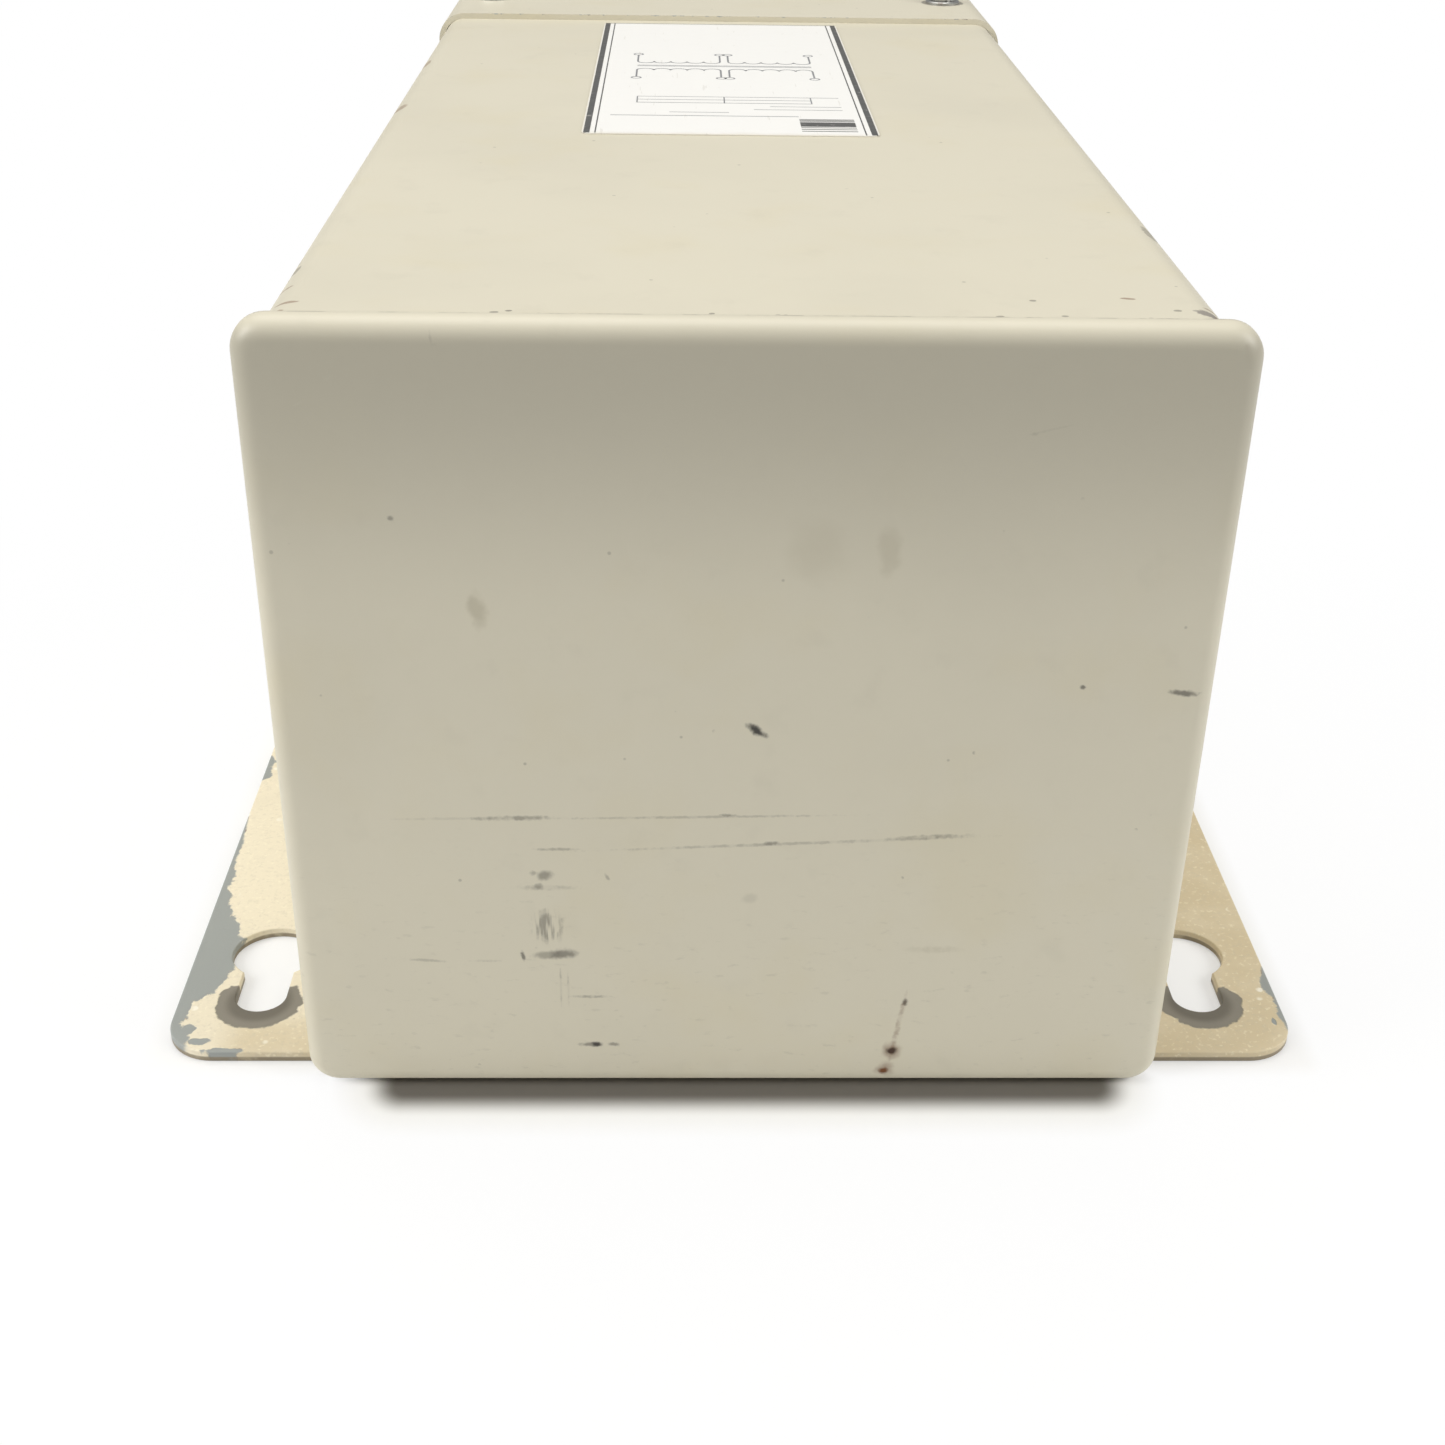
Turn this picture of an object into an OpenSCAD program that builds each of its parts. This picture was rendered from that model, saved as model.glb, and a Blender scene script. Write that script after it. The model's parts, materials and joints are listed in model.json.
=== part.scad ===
// Wall-mounted encapsulated dry-type transformer, lying on its mounting plate.
// +X is its width, +Y runs from the top end cap to the wiring end and +Z out of
// its front. The origin is the centre of the mounting face. Millimetres.

/* [Body] */
// Width of the folded steel body
body_w = 161.4; // [135:0.1:210]
// Depth of the body, from its back to its front face
body_d = 148.7; // [124:0.1:190]
// Overall length, from the face of the end cap to the wiring end
overall_l = 380; // [350:1:480]
// Thickness of the body's sheet steel
sheet_t = 1.5; // [1.2:0.1:2]
// Outside radius of the body's long bends
body_bend_r = 5.7; // [4.5:0.1:8]

/* [End cap] */
// Thickness of the end cap's sheet steel
cap_t = 1.8; // [1.5:0.1:1.8]
// Gap between the body and the rim of the end cap
cap_gap = 0.5; // [0.2:0.1:0.5]
// Depth of the rim that laps over the body
cap_rim = 5.5; // [5:0.5:12]
// Outside radius of the bend between face and rim, on the cap and the wiring end plate
rim_bend_r = 3; // [2.5:0.5:4.5]

/* [Mounting plate] */
// Width of each ear, which is how far the plate stands out beside the body
ear_reach = 32.8; // [28:0.1:60]
// Thickness of the mounting plate
plate_t = 2.3; // [2.3:0.1:4]
// Distance from the face of the end cap to the plate's edge
plate_setback = 7.9; // [7:0.1:20]
// Radius of the plate's corners
plate_corner_r = 10; // [4:1:20]
// Width of the keyhole's narrow slot
slot_w = 10.3; // [7:0.1:11]
// Diameter of the keyhole's round entry
entry_d = 17.5; // [14:0.5:19]
// Distance between the slot's seat and the middle of the entry
key_l = 15.2; // [12:0.1:20]
// Distance from the plate's outer edges to the middle of the keyholes
key_margin = 16.5; // [12:0.1:18]
// Distance from the plate's upper edge to the upper seats
key_inset = 18.4; // [14:0.1:22]
// Distance from the plate's lower edge to the lower seats
key_end_inset = 48.9; // [30:0.1:80]

/* [Nameplate] */
// Width of the nameplate
label_w = 67.2; // [40:0.1:90]
// Length of the nameplate
label_l = 147; // [60:1:147]
// Thickness of the nameplate
label_t = 0.3; // [0.2:0.1:0.5]
// Distance from the face of the end cap to the nameplate
label_inset = 146.5; // [60:0.5:147]

/* [Wiring compartment] */
// Length of the cover, which is the length of the wiring compartment
cover_l = 80; // [72:1:100]
// Thickness of the cover and of the wiring end plate
cover_t = 1.5; // [1:0.1:2]
// Depth of the flanges that lap over the sides of the body
cover_flange = 15; // [10:1:25]
// Gap between the cover's flanges and the body
cover_gap = 0.4; // [0.3:0.1:0.6]
// Depth of the flange round the wiring end plate
end_flange = 12; // [8:1:14]
// Thickness of the insulating board behind the terminals
board_t = 6; // [4:0.5:8]
// Diameter of a conduit hole, for 1/2 inch trade size
conduit_d = 22.2; // [22.2:0.1:28]
// Distance from the mounting face to the middle of the conduit holes
conduit_h = 50; // [40:1:60]
// Distance between the two conduit holes in the wiring end
conduit_pitch = 76; // [50:1:85]

/* [Core and coil] */
// Width of the centre leg of the laminated core
leg_w = 40; // [30:0.5:41]
// Thickness of the stack of laminations
stack_t = 66; // [50:1:66]
// Length of the window that the coil fills
window_l = 120; // [90:1:130]
// Build of the inner winding
inner_build = 7; // [6:0.1:7]
// Build of the outer winding
outer_build = 6.5; // [5:0.1:6.5]
// Radius of an insulated lead
lead_r = 2; // [1.5:0.1:2.1]

/* [Terminals] */
// Distance between neighbouring terminals
terminal_pitch = 17.8; // [14:0.1:18]
// Depth of one tier of the terminal block
tier_l = 16; // [15:0.5:18]

/* [Hidden] */
$fn = 48;

steel_paint = "#cfcabd";
bare_steel = "#8d9093";
zinc = "#b9bcbf";
brass = "#c8a050";
copper = "#b3703f";
phenolic = "#2c2522";
eps = 1; // how far a cutter runs past what it cuts

// Lengthwise places
cap_face_y = -overall_l / 2;
wiring_end_y = overall_l / 2;
corner_clear = 0.8; // keeps the body's end out of the cap's inner bend
body_start_y = cap_face_y + cap_t + corner_clear;
cover_y = wiring_end_y - cover_l;
board_y = cover_y - board_t;

// Heights
body_z = plate_t;
front_z = plate_t + body_d;
mid_z = plate_t + body_d / 2;
cap_step = cap_t + cap_gap;
cap_corner_r = body_bend_r + cap_step;
inner_w = body_w - 2 * sheet_t;
inner_d = body_d - 2 * sheet_t;
inner_r = body_bend_r - sheet_t;

// Mounting plate
plate_w = body_w + 2 * ear_reach;
plate_l = overall_l - plate_setback;
plate_mid_y = cap_face_y + plate_setback + plate_l / 2;
seat_y = cap_face_y + plate_setback + key_inset;
key_pitch_x = plate_w - 2 * key_margin;
key_pitch_y = plate_l - key_inset - key_end_inset;

// Access opening, cover screws and their nut plates
opening_y = cover_y + 8;
opening_end_y = wiring_end_y - end_flange - 3;
nut_w = 11;
nut_t = 3;
screw_x = inner_w / 2 - inner_r - nut_w / 2 - 0.5;
opening_w = 2 * (screw_x - nut_w / 2 - 0.8);
screw_inset = 30;
screw_ys = [cover_y + screw_inset, opening_end_y - nut_w / 2];
shank_r = 2.4;
thread_gap = 0.05;
hole_r = shank_r + 0.35;

// Knockouts
conduit_r = conduit_d / 2;
knockout_gap = 0.1;
side_knockout_y = cover_y + 40;

// Ground connection
ground_x = -inner_w / 2 + 29;
ground_y = cover_y + 42;
ground_z = body_z + sheet_t;
boss_h = 8;
boss_r = 6;
tang_t = 2;
lug_w = 12;
lug_h = 10;
lug_wire_r = 3;

// Core and coil, about the middle of the potted section
core_y = (body_start_y + board_y) / 2;
side_leg = leg_w / 2;
core_l = window_l + 2 * side_leg;
core_bolt_y = core_l / 2 - side_leg / 2;
core_bolt_r = 3;
clamp_t = 4;
nut_h = 5;
former_gap = 0.3;
former_t = 1.5;
flange_t = 1.5;
wrap_t = 1;
window_clear = 1; // between the coil former and the side legs
layer_t = 1.5;
coil_l = window_l - 2;
former_r = 2;
flange_lap = 1.2;
tube_w = leg_w + 2 * (former_gap + former_t);
tube_h = stack_t + 2 * (former_gap + former_t);
build_1 = inner_build;
build_2 = build_1 + layer_t;
build_3 = build_2 + outer_build;
build_4 = build_3 + wrap_t;
window_w = former_gap + former_t + build_4 + flange_lap + window_clear;
core_w = 2 * leg_w + 2 * window_w;
core_bolt_x = core_w / 2 - side_leg / 2;
winding_y0 = core_y - coil_l / 2 + flange_t;
winding_y1 = core_y + coil_l / 2 - flange_t;

// Leads and terminals
lead_gap = 0.1;
primary_z = mid_z + tube_h / 2 + (build_2 + build_3) / 2;
secondary_z = mid_z + tube_h / 2 + build_1 - lead_r - 0.2;
terminal_xs = [for (i = [0:3]) (i - 1.5) * terminal_pitch];
bushing_r = lead_r + 1;
bar_w = 9;
bar_l = 11;
bar_t = 3;
bar_inset = 3;
rib_t = 2.5;
rib_h = 7;
washer_w = 8;
washer_t = 1;
block_w = 4 * terminal_pitch + rib_t;
block_drop = 9;
ear_w = 11;
ear_t = 5;
ear_x = block_w / 2 + ear_w / 2;
tier_1_y = cover_y + bar_inset;
tier_2_y = cover_y + tier_l + bar_inset;
primary_floor = primary_z - bar_t / 2;
secondary_floor = secondary_z - bar_t / 2;
block_z = secondary_floor - block_drop;
terminal_shank_r = 1.5;
terminal_reach = 2.5; // how far the screws run into the block

// ---- Shapes used by several parts ----

module rounded_rect(w, h, r) {
    square([w - 2 * r, h], center = true);
    square([w, h - 2 * r], center = true);
    for (x = [-1, 1], y = [-1, 1])
        translate([x * (w / 2 - r), y * (h / 2 - r)]) circle(r);
}

// Extrudes an outline drawn in X and Z from y_from to y_to
module along_y(y_from, y_to, z = mid_z) {
    translate([0, y_to, z]) rotate([90, 0, 0]) linear_extrude(y_to - y_from) children();
}

// A straight round rod or hole along Y
module rod_y(r, y_from, y_to) {
    translate([0, y_to, 0]) rotate([90, 0, 0]) cylinder(r = r, h = y_to - y_from);
}

// Section through the edge of a pan: a quarter bend, then a straight rim
module pan_edge(bend_r, t, depth) {
    intersection() {
        translate([0, bend_r]) difference() {
            circle(bend_r);
            circle(bend_r - t);
        }
        square(bend_r);
    }
    translate([bend_r - t, bend_r]) square([t, depth - bend_r]);
}

// A pan pressed from sheet, with its face on z = 0 and its rim towards +Z
module pan(w, h, corner_r, bend_r, t, depth) {
    turn_r = corner_r - bend_r;
    linear_extrude(t) rounded_rect(w - 2 * bend_r, h - 2 * bend_r, turn_r);
    for (side = [0, 1]) rotate(180 * side) {
        translate([w / 2 - bend_r, h / 2 - corner_r, 0]) rotate([90, 0, 0])
            linear_extrude(h - 2 * corner_r) pan_edge(bend_r, t, depth);
        rotate(90) translate([h / 2 - bend_r, w / 2 - corner_r, 0]) rotate([90, 0, 0])
            linear_extrude(w - 2 * corner_r) pan_edge(bend_r, t, depth);
    }
    for (x = [-1, 1], y = [-1, 1]) translate([x * (w / 2 - corner_r), y * (h / 2 - corner_r), 0])
        rotate(x * y > 0 ? (x > 0 ? 0 : 180) : (x > 0 ? 270 : 90))
            rotate_extrude(angle = 90) translate([turn_r, 0]) pan_edge(bend_r, t, depth);
}

// Keyhole outline: the seat of the narrow slot at the origin, the entry towards +Y
module keyhole() {
    circle(slot_w / 2);
    translate([-slot_w / 2, 0]) square([slot_w, key_l]);
    translate([0, key_l]) circle(entry_d / 2);
}

// Slotted hex washer head screw, its head seated on z = 0
module hex_washer_screw(shank_l) {
    slot_t = 1.2;
    translate([0, 0, -shank_l]) cylinder(r = shank_r, h = shank_l);
    cylinder(r = 5.2, h = 0.9);
    difference() {
        translate([0, 0, 0.9]) cylinder(r = 4.6, h = 3.2, $fn = 6);
        translate([-6, -slot_t / 2, 2.7]) cube([12, slot_t, 2]);
    }
}

// Slotted round head screw, its head seated on z = 0
module round_head_screw(r, head_r, head_h, shank_l) {
    dome_r = (head_r * head_r + head_h * head_h) / (2 * head_h);
    translate([0, 0, -shank_l]) cylinder(r = r, h = shank_l);
    difference() {
        rotate_extrude() intersection() {
            translate([0, head_h - dome_r]) circle(dome_r);
            square([head_r, head_h]);
        }
        translate([-head_r, -0.4, head_h - 0.9]) cube([2 * head_r, 0.8, 2]);
    }
}

module at_screws() {
    for (y = screw_ys, side = [-1, 1]) translate([side * screw_x, y, 0]) children();
}

module cover_screw(i) {
    side = i % 2 == 1 ? -1 : 1;
    color(zinc) translate([side * screw_x, screw_ys[i < 3 ? 0 : 1], front_z + cover_t])
        hex_washer_screw(cover_t + sheet_t + nut_t + 2);
}

module slug(t) {
    cylinder(r = conduit_r - knockout_gap, h = t);
}

// Ring wound on the coil former, between two builds
module winding(from_build, to_build) {
    along_y(winding_y0, winding_y1) difference() {
        rounded_rect(tube_w + 2 * to_build, tube_h + 2 * to_build, former_r + to_build);
        rounded_rect(tube_w + 2 * from_build, tube_h + 2 * from_build, former_r + from_build);
    }
}

module at_core_bolts() {
    for (x = [-1, 1], y = [-1, 1])
        translate([x * core_bolt_x, core_y + y * core_bolt_y, mid_z]) children();
}

// A block of the core, as deep as the stack of laminations
module core_box(x0, x1, y0, y1) {
    translate([x0, core_y + y0, mid_z - stack_t / 2]) cube([x1 - x0, y1 - y0, stack_t]);
}

module e_blank() {
    core_box(-core_w / 2, core_w / 2, -core_l / 2, -core_l / 2 + side_leg);
    core_box(-leg_w / 2, leg_w / 2, -core_l / 2, core_l / 2 - side_leg);
    core_box(-core_w / 2, -core_w / 2 + side_leg, -core_l / 2, core_l / 2 - side_leg);
    core_box(core_w / 2 - side_leg, core_w / 2, -core_l / 2, core_l / 2 - side_leg);
}

module i_blank() {
    core_box(-core_w / 2, core_w / 2, core_l / 2 - side_leg, core_l / 2);
}

module clamp_blanks() {
    for (y = [-1, 1], z = [-1, 1])
        translate([-core_w / 2, core_y + y * core_bolt_y - side_leg / 2,
            mid_z + z * (stack_t + clamp_t) / 2 - clamp_t / 2])
            cube([core_w, side_leg, clamp_t]);
}

module clamping_holes() {
    at_core_bolts() cylinder(r = core_bolt_r + former_gap, h = 2 * stack_t, center = true);
}

module lead_row(z, r, y_from, y_to) {
    for (x = terminal_xs) translate([x, 0, z]) rod_y(r, y_from, y_to);
}

module at_terminals() {
    for (x = terminal_xs) {
        translate([x, tier_1_y + bar_l / 2, primary_floor + bar_t]) children();
        translate([x, tier_2_y + bar_l / 2, secondary_floor + bar_t]) children();
    }
}

// ---- Enclosure ----

module end_cap() {
    color(steel_paint) translate([0, cap_face_y, mid_z]) rotate([-90, 0, 0])
        pan(body_w + 2 * cap_step, body_d + 2 * cap_step, cap_corner_r, rim_bend_r, cap_t, cap_rim);
}

module body_shell() {
    color(steel_paint) difference() {
        along_y(body_start_y, wiring_end_y) difference() {
            rounded_rect(body_w, body_d, body_bend_r);
            rounded_rect(inner_w, inner_d, inner_r);
        }
        translate([-opening_w / 2, opening_y, front_z - sheet_t - eps])
            cube([opening_w, opening_end_y - opening_y, sheet_t + 2 * eps]);
        at_screws() translate([0, 0, front_z - sheet_t - eps]) cylinder(r = hole_r, h = sheet_t + 2 * eps);
        translate([-body_w, side_knockout_y, conduit_h]) rotate([0, 90, 0])
            cylinder(r = conduit_r, h = 2 * body_w);
        translate([ground_x, ground_y, 0]) cylinder(r = hole_r, h = ground_z + eps);
    }
}

module back_plate() {
    color(steel_paint) linear_extrude(plate_t) difference() {
        translate([0, plate_mid_y]) rounded_rect(plate_w, plate_l, plate_corner_r);
        for (x = [-1, 1], y = [0, key_pitch_y])
            translate([x * key_pitch_x / 2, seat_y + y]) keyhole();
    }
}

module nameplate() {
    color("white") translate([-label_w / 2, cap_face_y + label_inset, front_z])
        cube([label_w, label_l, label_t]);
}

// ---- Wiring compartment ----

module wiring_end_plate() {
    fit_gap = 0.2;
    color(steel_paint) difference() {
        translate([0, wiring_end_y, mid_z]) rotate([90, 0, 0])
            pan(inner_w - 2 * fit_gap, inner_d - 2 * fit_gap, inner_r + 1, rim_bend_r, cover_t, end_flange);
        for (side = [-1, 1]) translate([side * conduit_pitch / 2, 0, conduit_h])
            rod_y(conduit_r, wiring_end_y - cover_t - eps, wiring_end_y + eps);
    }
}

module knockout_end() {
    color(steel_paint) translate([conduit_pitch / 2, wiring_end_y, conduit_h]) rotate([90, 0, 0]) slug(cover_t);
}

module knockout_left() {
    color(steel_paint) translate([-body_w / 2, side_knockout_y, conduit_h]) rotate([0, 90, 0]) slug(sheet_t);
}

module knockout_right() {
    color(steel_paint) translate([body_w / 2, side_knockout_y, conduit_h]) rotate([0, -90, 0]) slug(sheet_t);
}

module wiring_cover() {
    outer_w = body_w + 2 * (cover_gap + cover_t);
    outer_r = body_bend_r + cover_gap + cover_t;
    color(steel_paint) difference() {
        along_y(cover_y, wiring_end_y, 0) intersection() {
            difference() {
                translate([0, front_z + cover_t - body_d / 2]) rounded_rect(outer_w, body_d, outer_r);
                translate([0, front_z - body_d / 2])
                    rounded_rect(outer_w - 2 * cover_t, body_d, outer_r - cover_t);
            }
            translate([-body_w, front_z - cover_flange]) square([2 * body_w, cover_flange + 2 * cover_t]);
        }
        at_screws() translate([0, 0, front_z - eps]) cylinder(r = hole_r, h = cover_t + 2 * eps);
    }
}

module cover_nut_plates() {
    color(zinc) at_screws() translate([0, 0, front_z - sheet_t - nut_t]) difference() {
        translate([-nut_w / 2, -nut_w / 2, 0]) cube([nut_w, nut_w, nut_t]);
        translate([0, 0, -eps]) cylinder(r = shank_r + thread_gap, h = nut_t + 2 * eps);
    }
}

// ---- Potted core and coil ----

module core_e_stack() {
    color(bare_steel) difference() {
        e_blank();
        clamping_holes();
    }
}

module core_i_stack() {
    color(bare_steel) difference() {
        i_blank();
        clamping_holes();
    }
}

module core_clamp_bars() {
    color(zinc) difference() {
        clamp_blanks();
        clamping_holes();
    }
}

module core_bolts() {
    grip = stack_t / 2 + clamp_t;
    color(zinc) at_core_bolts() {
        translate([0, 0, -grip]) cylinder(r = core_bolt_r, h = 2 * grip + nut_h + 1);
        translate([0, 0, -grip - 4]) cylinder(r = 2 * core_bolt_r, h = 4, $fn = 6);
    }
}

module core_nuts() {
    color(zinc) at_core_bolts() translate([0, 0, stack_t / 2 + clamp_t]) difference() {
        cylinder(r = 2 * core_bolt_r, h = nut_h, $fn = 6);
        translate([0, 0, -eps]) cylinder(r = core_bolt_r, h = nut_h + 2 * eps);
    }
}

module coil_former() {
    color("#d8cfae") difference() {
        union() {
            along_y(core_y - coil_l / 2, core_y + coil_l / 2) rounded_rect(tube_w, tube_h, former_r);
            for (y = [core_y - coil_l / 2, winding_y1]) along_y(y, y + flange_t)
                rounded_rect(tube_w + 2 * (build_4 + flange_lap), tube_h + 2 * (build_4 + flange_lap), former_r);
        }
        along_y(core_y - coil_l, core_y + coil_l)
            square([leg_w + 2 * former_gap, stack_t + 2 * former_gap], center = true);
        lead_row(primary_z, lead_r + lead_gap, core_y, board_y);
        lead_row(secondary_z, lead_r + lead_gap, core_y, board_y);
    }
}

module secondary_winding() {
    color(copper) winding(0, build_1);
}

module winding_insulation() {
    color("#b08d5a") winding(build_1, build_2);
}

module primary_winding() {
    color(copper) winding(build_2, build_3);
}

module coil_wrap() {
    color("#caa45c") winding(build_3, build_4);
}

module coil_space() {
    along_y(winding_y0, winding_y1)
        rounded_rect(tube_w + 2 * build_4, tube_h + 2 * build_4, former_r + build_4);
    for (y = [core_y - coil_l / 2, winding_y1]) along_y(y, y + flange_t)
        rounded_rect(tube_w + 2 * (build_4 + flange_lap), tube_h + 2 * (build_4 + flange_lap), former_r);
}

module potting_compound() {
    color("#4a4540") difference() {
        along_y(cap_face_y + cap_t, board_y) rounded_rect(inner_w, inner_d, inner_r);
        e_blank();
        i_blank();
        clamp_blanks();
        coil_space();
        core_bolts();
        core_nuts();
        lead_row(primary_z, lead_r, core_y, board_y + eps);
        lead_row(secondary_z, lead_r, core_y, board_y + eps);
    }
}

// ---- Leads and terminals ----

module primary_leads() {
    color("#7c1f1a") lead_row(primary_z, lead_r, winding_y1, tier_1_y);
}

module secondary_leads() {
    color("#1d1d20") lead_row(secondary_z, lead_r, winding_y1, tier_2_y);
}

module barrier_board() {
    color("#6a4a2c") difference() {
        along_y(board_y, cover_y) rounded_rect(inner_w, inner_d, inner_r);
        lead_row(primary_z, bushing_r, board_y - eps, cover_y + eps);
        lead_row(secondary_z, bushing_r, board_y - eps, cover_y + eps);
        for (side = [-1, 1]) translate([side * ear_x, 0, secondary_z])
            rod_y(2, cover_y - board_t + 1, cover_y + eps);
    }
}

module lead_bushings() {
    color("#3a3a3c") difference() {
        union() {
            lead_row(primary_z, bushing_r, board_y, cover_y);
            lead_row(secondary_z, bushing_r, board_y, cover_y);
        }
        lead_row(primary_z, lead_r, board_y - eps, cover_y + eps);
        lead_row(secondary_z, lead_r, board_y - eps, cover_y + eps);
    }
}

module terminal_block() {
    color(phenolic) difference() {
        union() {
            translate([-block_w / 2, cover_y, block_z])
                cube([block_w, tier_l, primary_floor - block_z]);
            translate([-block_w / 2, cover_y + tier_l, block_z])
                cube([block_w, tier_l, secondary_floor - block_z]);
            translate([-block_w / 2, cover_y, primary_floor]) cube([block_w, bar_inset - 0.5, rib_h]);
            for (i = [-2:2]) translate([i * terminal_pitch - rib_t / 2, cover_y, 0]) {
                translate([0, 0, primary_floor]) cube([rib_t, tier_l, rib_h]);
                translate([0, tier_l, secondary_floor]) cube([rib_t, tier_l, rib_h]);
            }
            for (side = [-1, 1]) translate([side * ear_x - ear_w / 2, cover_y, block_z])
                cube([ear_w, ear_t, primary_floor - block_z]);
        }
        lead_row(primary_z, lead_r + lead_gap, cover_y - eps, tier_1_y);
        lead_row(secondary_z, lead_r + lead_gap, cover_y - eps, tier_2_y);
        at_terminals() translate([0, 0, -bar_t - terminal_reach - 0.5])
            cylinder(r = terminal_shank_r + 0.2, h = terminal_reach + eps);
        for (side = [-1, 1]) translate([side * ear_x, 0, secondary_z]) rod_y(2.2, cover_y - eps, cover_y + ear_t + eps);
    }
}

module terminal_block_screws() {
    color(zinc) for (side = [-1, 1]) translate([side * ear_x, cover_y + ear_t, secondary_z])
        rotate([-90, 0, 0]) round_head_screw(2, 3.8, 2.4, ear_t + board_t - 1);
}

module terminal_bars() {
    color(brass) at_terminals() difference() {
        translate([-bar_w / 2, -bar_l / 2, -bar_t]) cube([bar_w, bar_l, bar_t]);
        translate([0, 0, -bar_t - eps]) cylinder(r = terminal_shank_r + thread_gap, h = bar_t + 2 * eps);
    }
}

module terminal_washers() {
    color(zinc) at_terminals() difference() {
        translate([-washer_w / 2, -washer_w / 2, 0]) cube([washer_w, washer_w, washer_t]);
        translate([0, 0, -eps]) cylinder(r = terminal_shank_r + 0.2, h = washer_t + 2 * eps);
    }
}

module terminal_screws() {
    color(zinc) at_terminals() translate([0, 0, washer_t])
        round_head_screw(terminal_shank_r, 3.2, 2.2, washer_t + bar_t + terminal_reach);
}

// ---- Ground connection ----

module ground_boss() {
    color(zinc) translate([ground_x, ground_y, ground_z]) difference() {
        cylinder(r = boss_r, h = boss_h);
        translate([0, 0, 1]) cylinder(r = shank_r + thread_gap, h = boss_h);
    }
}

module ground_lug() {
    barrel_y = boss_r + 1;
    color(copper) translate([ground_x, ground_y, ground_z + boss_h]) difference() {
        union() {
            translate([-lug_w / 2, -boss_r, 0]) cube([lug_w, barrel_y + boss_r + lug_w, tang_t]);
            translate([-lug_w / 2, barrel_y, tang_t]) cube([lug_w, lug_w, lug_h]);
        }
        translate([0, 0, -eps]) cylinder(r = hole_r, h = tang_t + 2 * eps);
        translate([0, 0, tang_t + 1 + lug_wire_r]) rod_y(lug_wire_r, barrel_y - eps, barrel_y + lug_w + eps);
        translate([0, barrel_y + lug_w / 2, tang_t + 1 + lug_wire_r]) cylinder(r = shank_r + thread_gap, h = lug_h);
    }
}

module ground_screw() {
    color("#2f7d3a") translate([ground_x, ground_y, ground_z + boss_h + tang_t])
        hex_washer_screw(tang_t + boss_h - 2);
}

module ground_clamp_screw() {
    grip = lug_h - 1 - 2 * lug_wire_r;
    color(zinc) translate([ground_x, ground_y + boss_r + 1 + lug_w / 2, ground_z + boss_h + tang_t + lug_h]) {
        difference() {
            translate([0, 0, -grip]) cylinder(r = shank_r, h = grip + 2);
            translate([-shank_r, -0.5, 0.8]) cube([2 * shank_r, 1, 2]);
        }
    }
}

end_cap();
body_shell();
back_plate();
nameplate();
wiring_end_plate();
knockout_end();
knockout_left();
knockout_right();
wiring_cover();
cover_screw(1);  // cover_screw_1
cover_screw(2);  // cover_screw_2
cover_screw(3);  // cover_screw_3
cover_screw(4);  // cover_screw_4
cover_nut_plates();
potting_compound();
core_e_stack();
core_i_stack();
core_clamp_bars();
core_bolts();
core_nuts();
coil_former();
secondary_winding();
winding_insulation();
primary_winding();
coil_wrap();
primary_leads();
secondary_leads();
barrier_board();
lead_bushings();
terminal_block();
terminal_block_screws();
terminal_bars();
terminal_washers();
terminal_screws();
ground_boss();
ground_lug();
ground_screw();
ground_clamp_screw();
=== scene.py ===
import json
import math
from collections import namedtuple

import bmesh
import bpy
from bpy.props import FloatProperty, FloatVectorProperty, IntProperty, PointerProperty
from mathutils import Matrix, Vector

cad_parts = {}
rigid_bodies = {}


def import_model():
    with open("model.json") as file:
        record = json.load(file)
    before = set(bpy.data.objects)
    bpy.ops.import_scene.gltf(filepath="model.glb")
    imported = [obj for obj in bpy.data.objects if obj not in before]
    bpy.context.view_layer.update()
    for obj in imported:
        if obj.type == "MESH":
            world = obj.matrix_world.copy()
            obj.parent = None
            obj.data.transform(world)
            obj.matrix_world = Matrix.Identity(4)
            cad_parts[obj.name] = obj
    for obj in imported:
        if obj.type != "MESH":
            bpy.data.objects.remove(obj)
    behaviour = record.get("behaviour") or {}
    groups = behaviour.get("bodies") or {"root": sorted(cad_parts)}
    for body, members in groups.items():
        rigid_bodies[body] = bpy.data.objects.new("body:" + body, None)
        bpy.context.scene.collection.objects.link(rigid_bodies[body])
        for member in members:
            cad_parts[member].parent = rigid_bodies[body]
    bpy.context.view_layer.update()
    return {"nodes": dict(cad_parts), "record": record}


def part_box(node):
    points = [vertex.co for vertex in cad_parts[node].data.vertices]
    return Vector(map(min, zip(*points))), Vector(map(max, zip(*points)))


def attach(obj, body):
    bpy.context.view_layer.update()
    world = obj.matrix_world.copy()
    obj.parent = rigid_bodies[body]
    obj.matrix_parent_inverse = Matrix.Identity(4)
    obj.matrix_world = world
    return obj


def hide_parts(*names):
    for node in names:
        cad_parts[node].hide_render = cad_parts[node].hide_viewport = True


bl_info = {
    "name": "Encapsulated transformer",
    "version": (1, 0, 0),
    "blender": (4, 5, 0),
    "location": "View3D > Sidebar > Transformer",
    "description": "Finishes a wall-mounted encapsulated transformer and sets its studio",
    "category": "Object",
}

for leftover in list(bpy.data.objects):
    bpy.data.objects.remove(leftover)
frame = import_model()

MM = 0.001


def screen_colour(red, green, blue):
    """The linear colour that shows as this 8-bit screen colour."""

    def linear(value):
        value = value / 255
        return value / 12.92 if value <= 0.04045 else ((value + 0.055) / 1.055) ** 2.4

    return tuple(linear(v) for v in (red, green, blue))


def node_box(name):
    """Lowest and highest corner of a frame node, in millimetres."""
    low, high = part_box(name)
    return low / MM, high / MM


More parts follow.
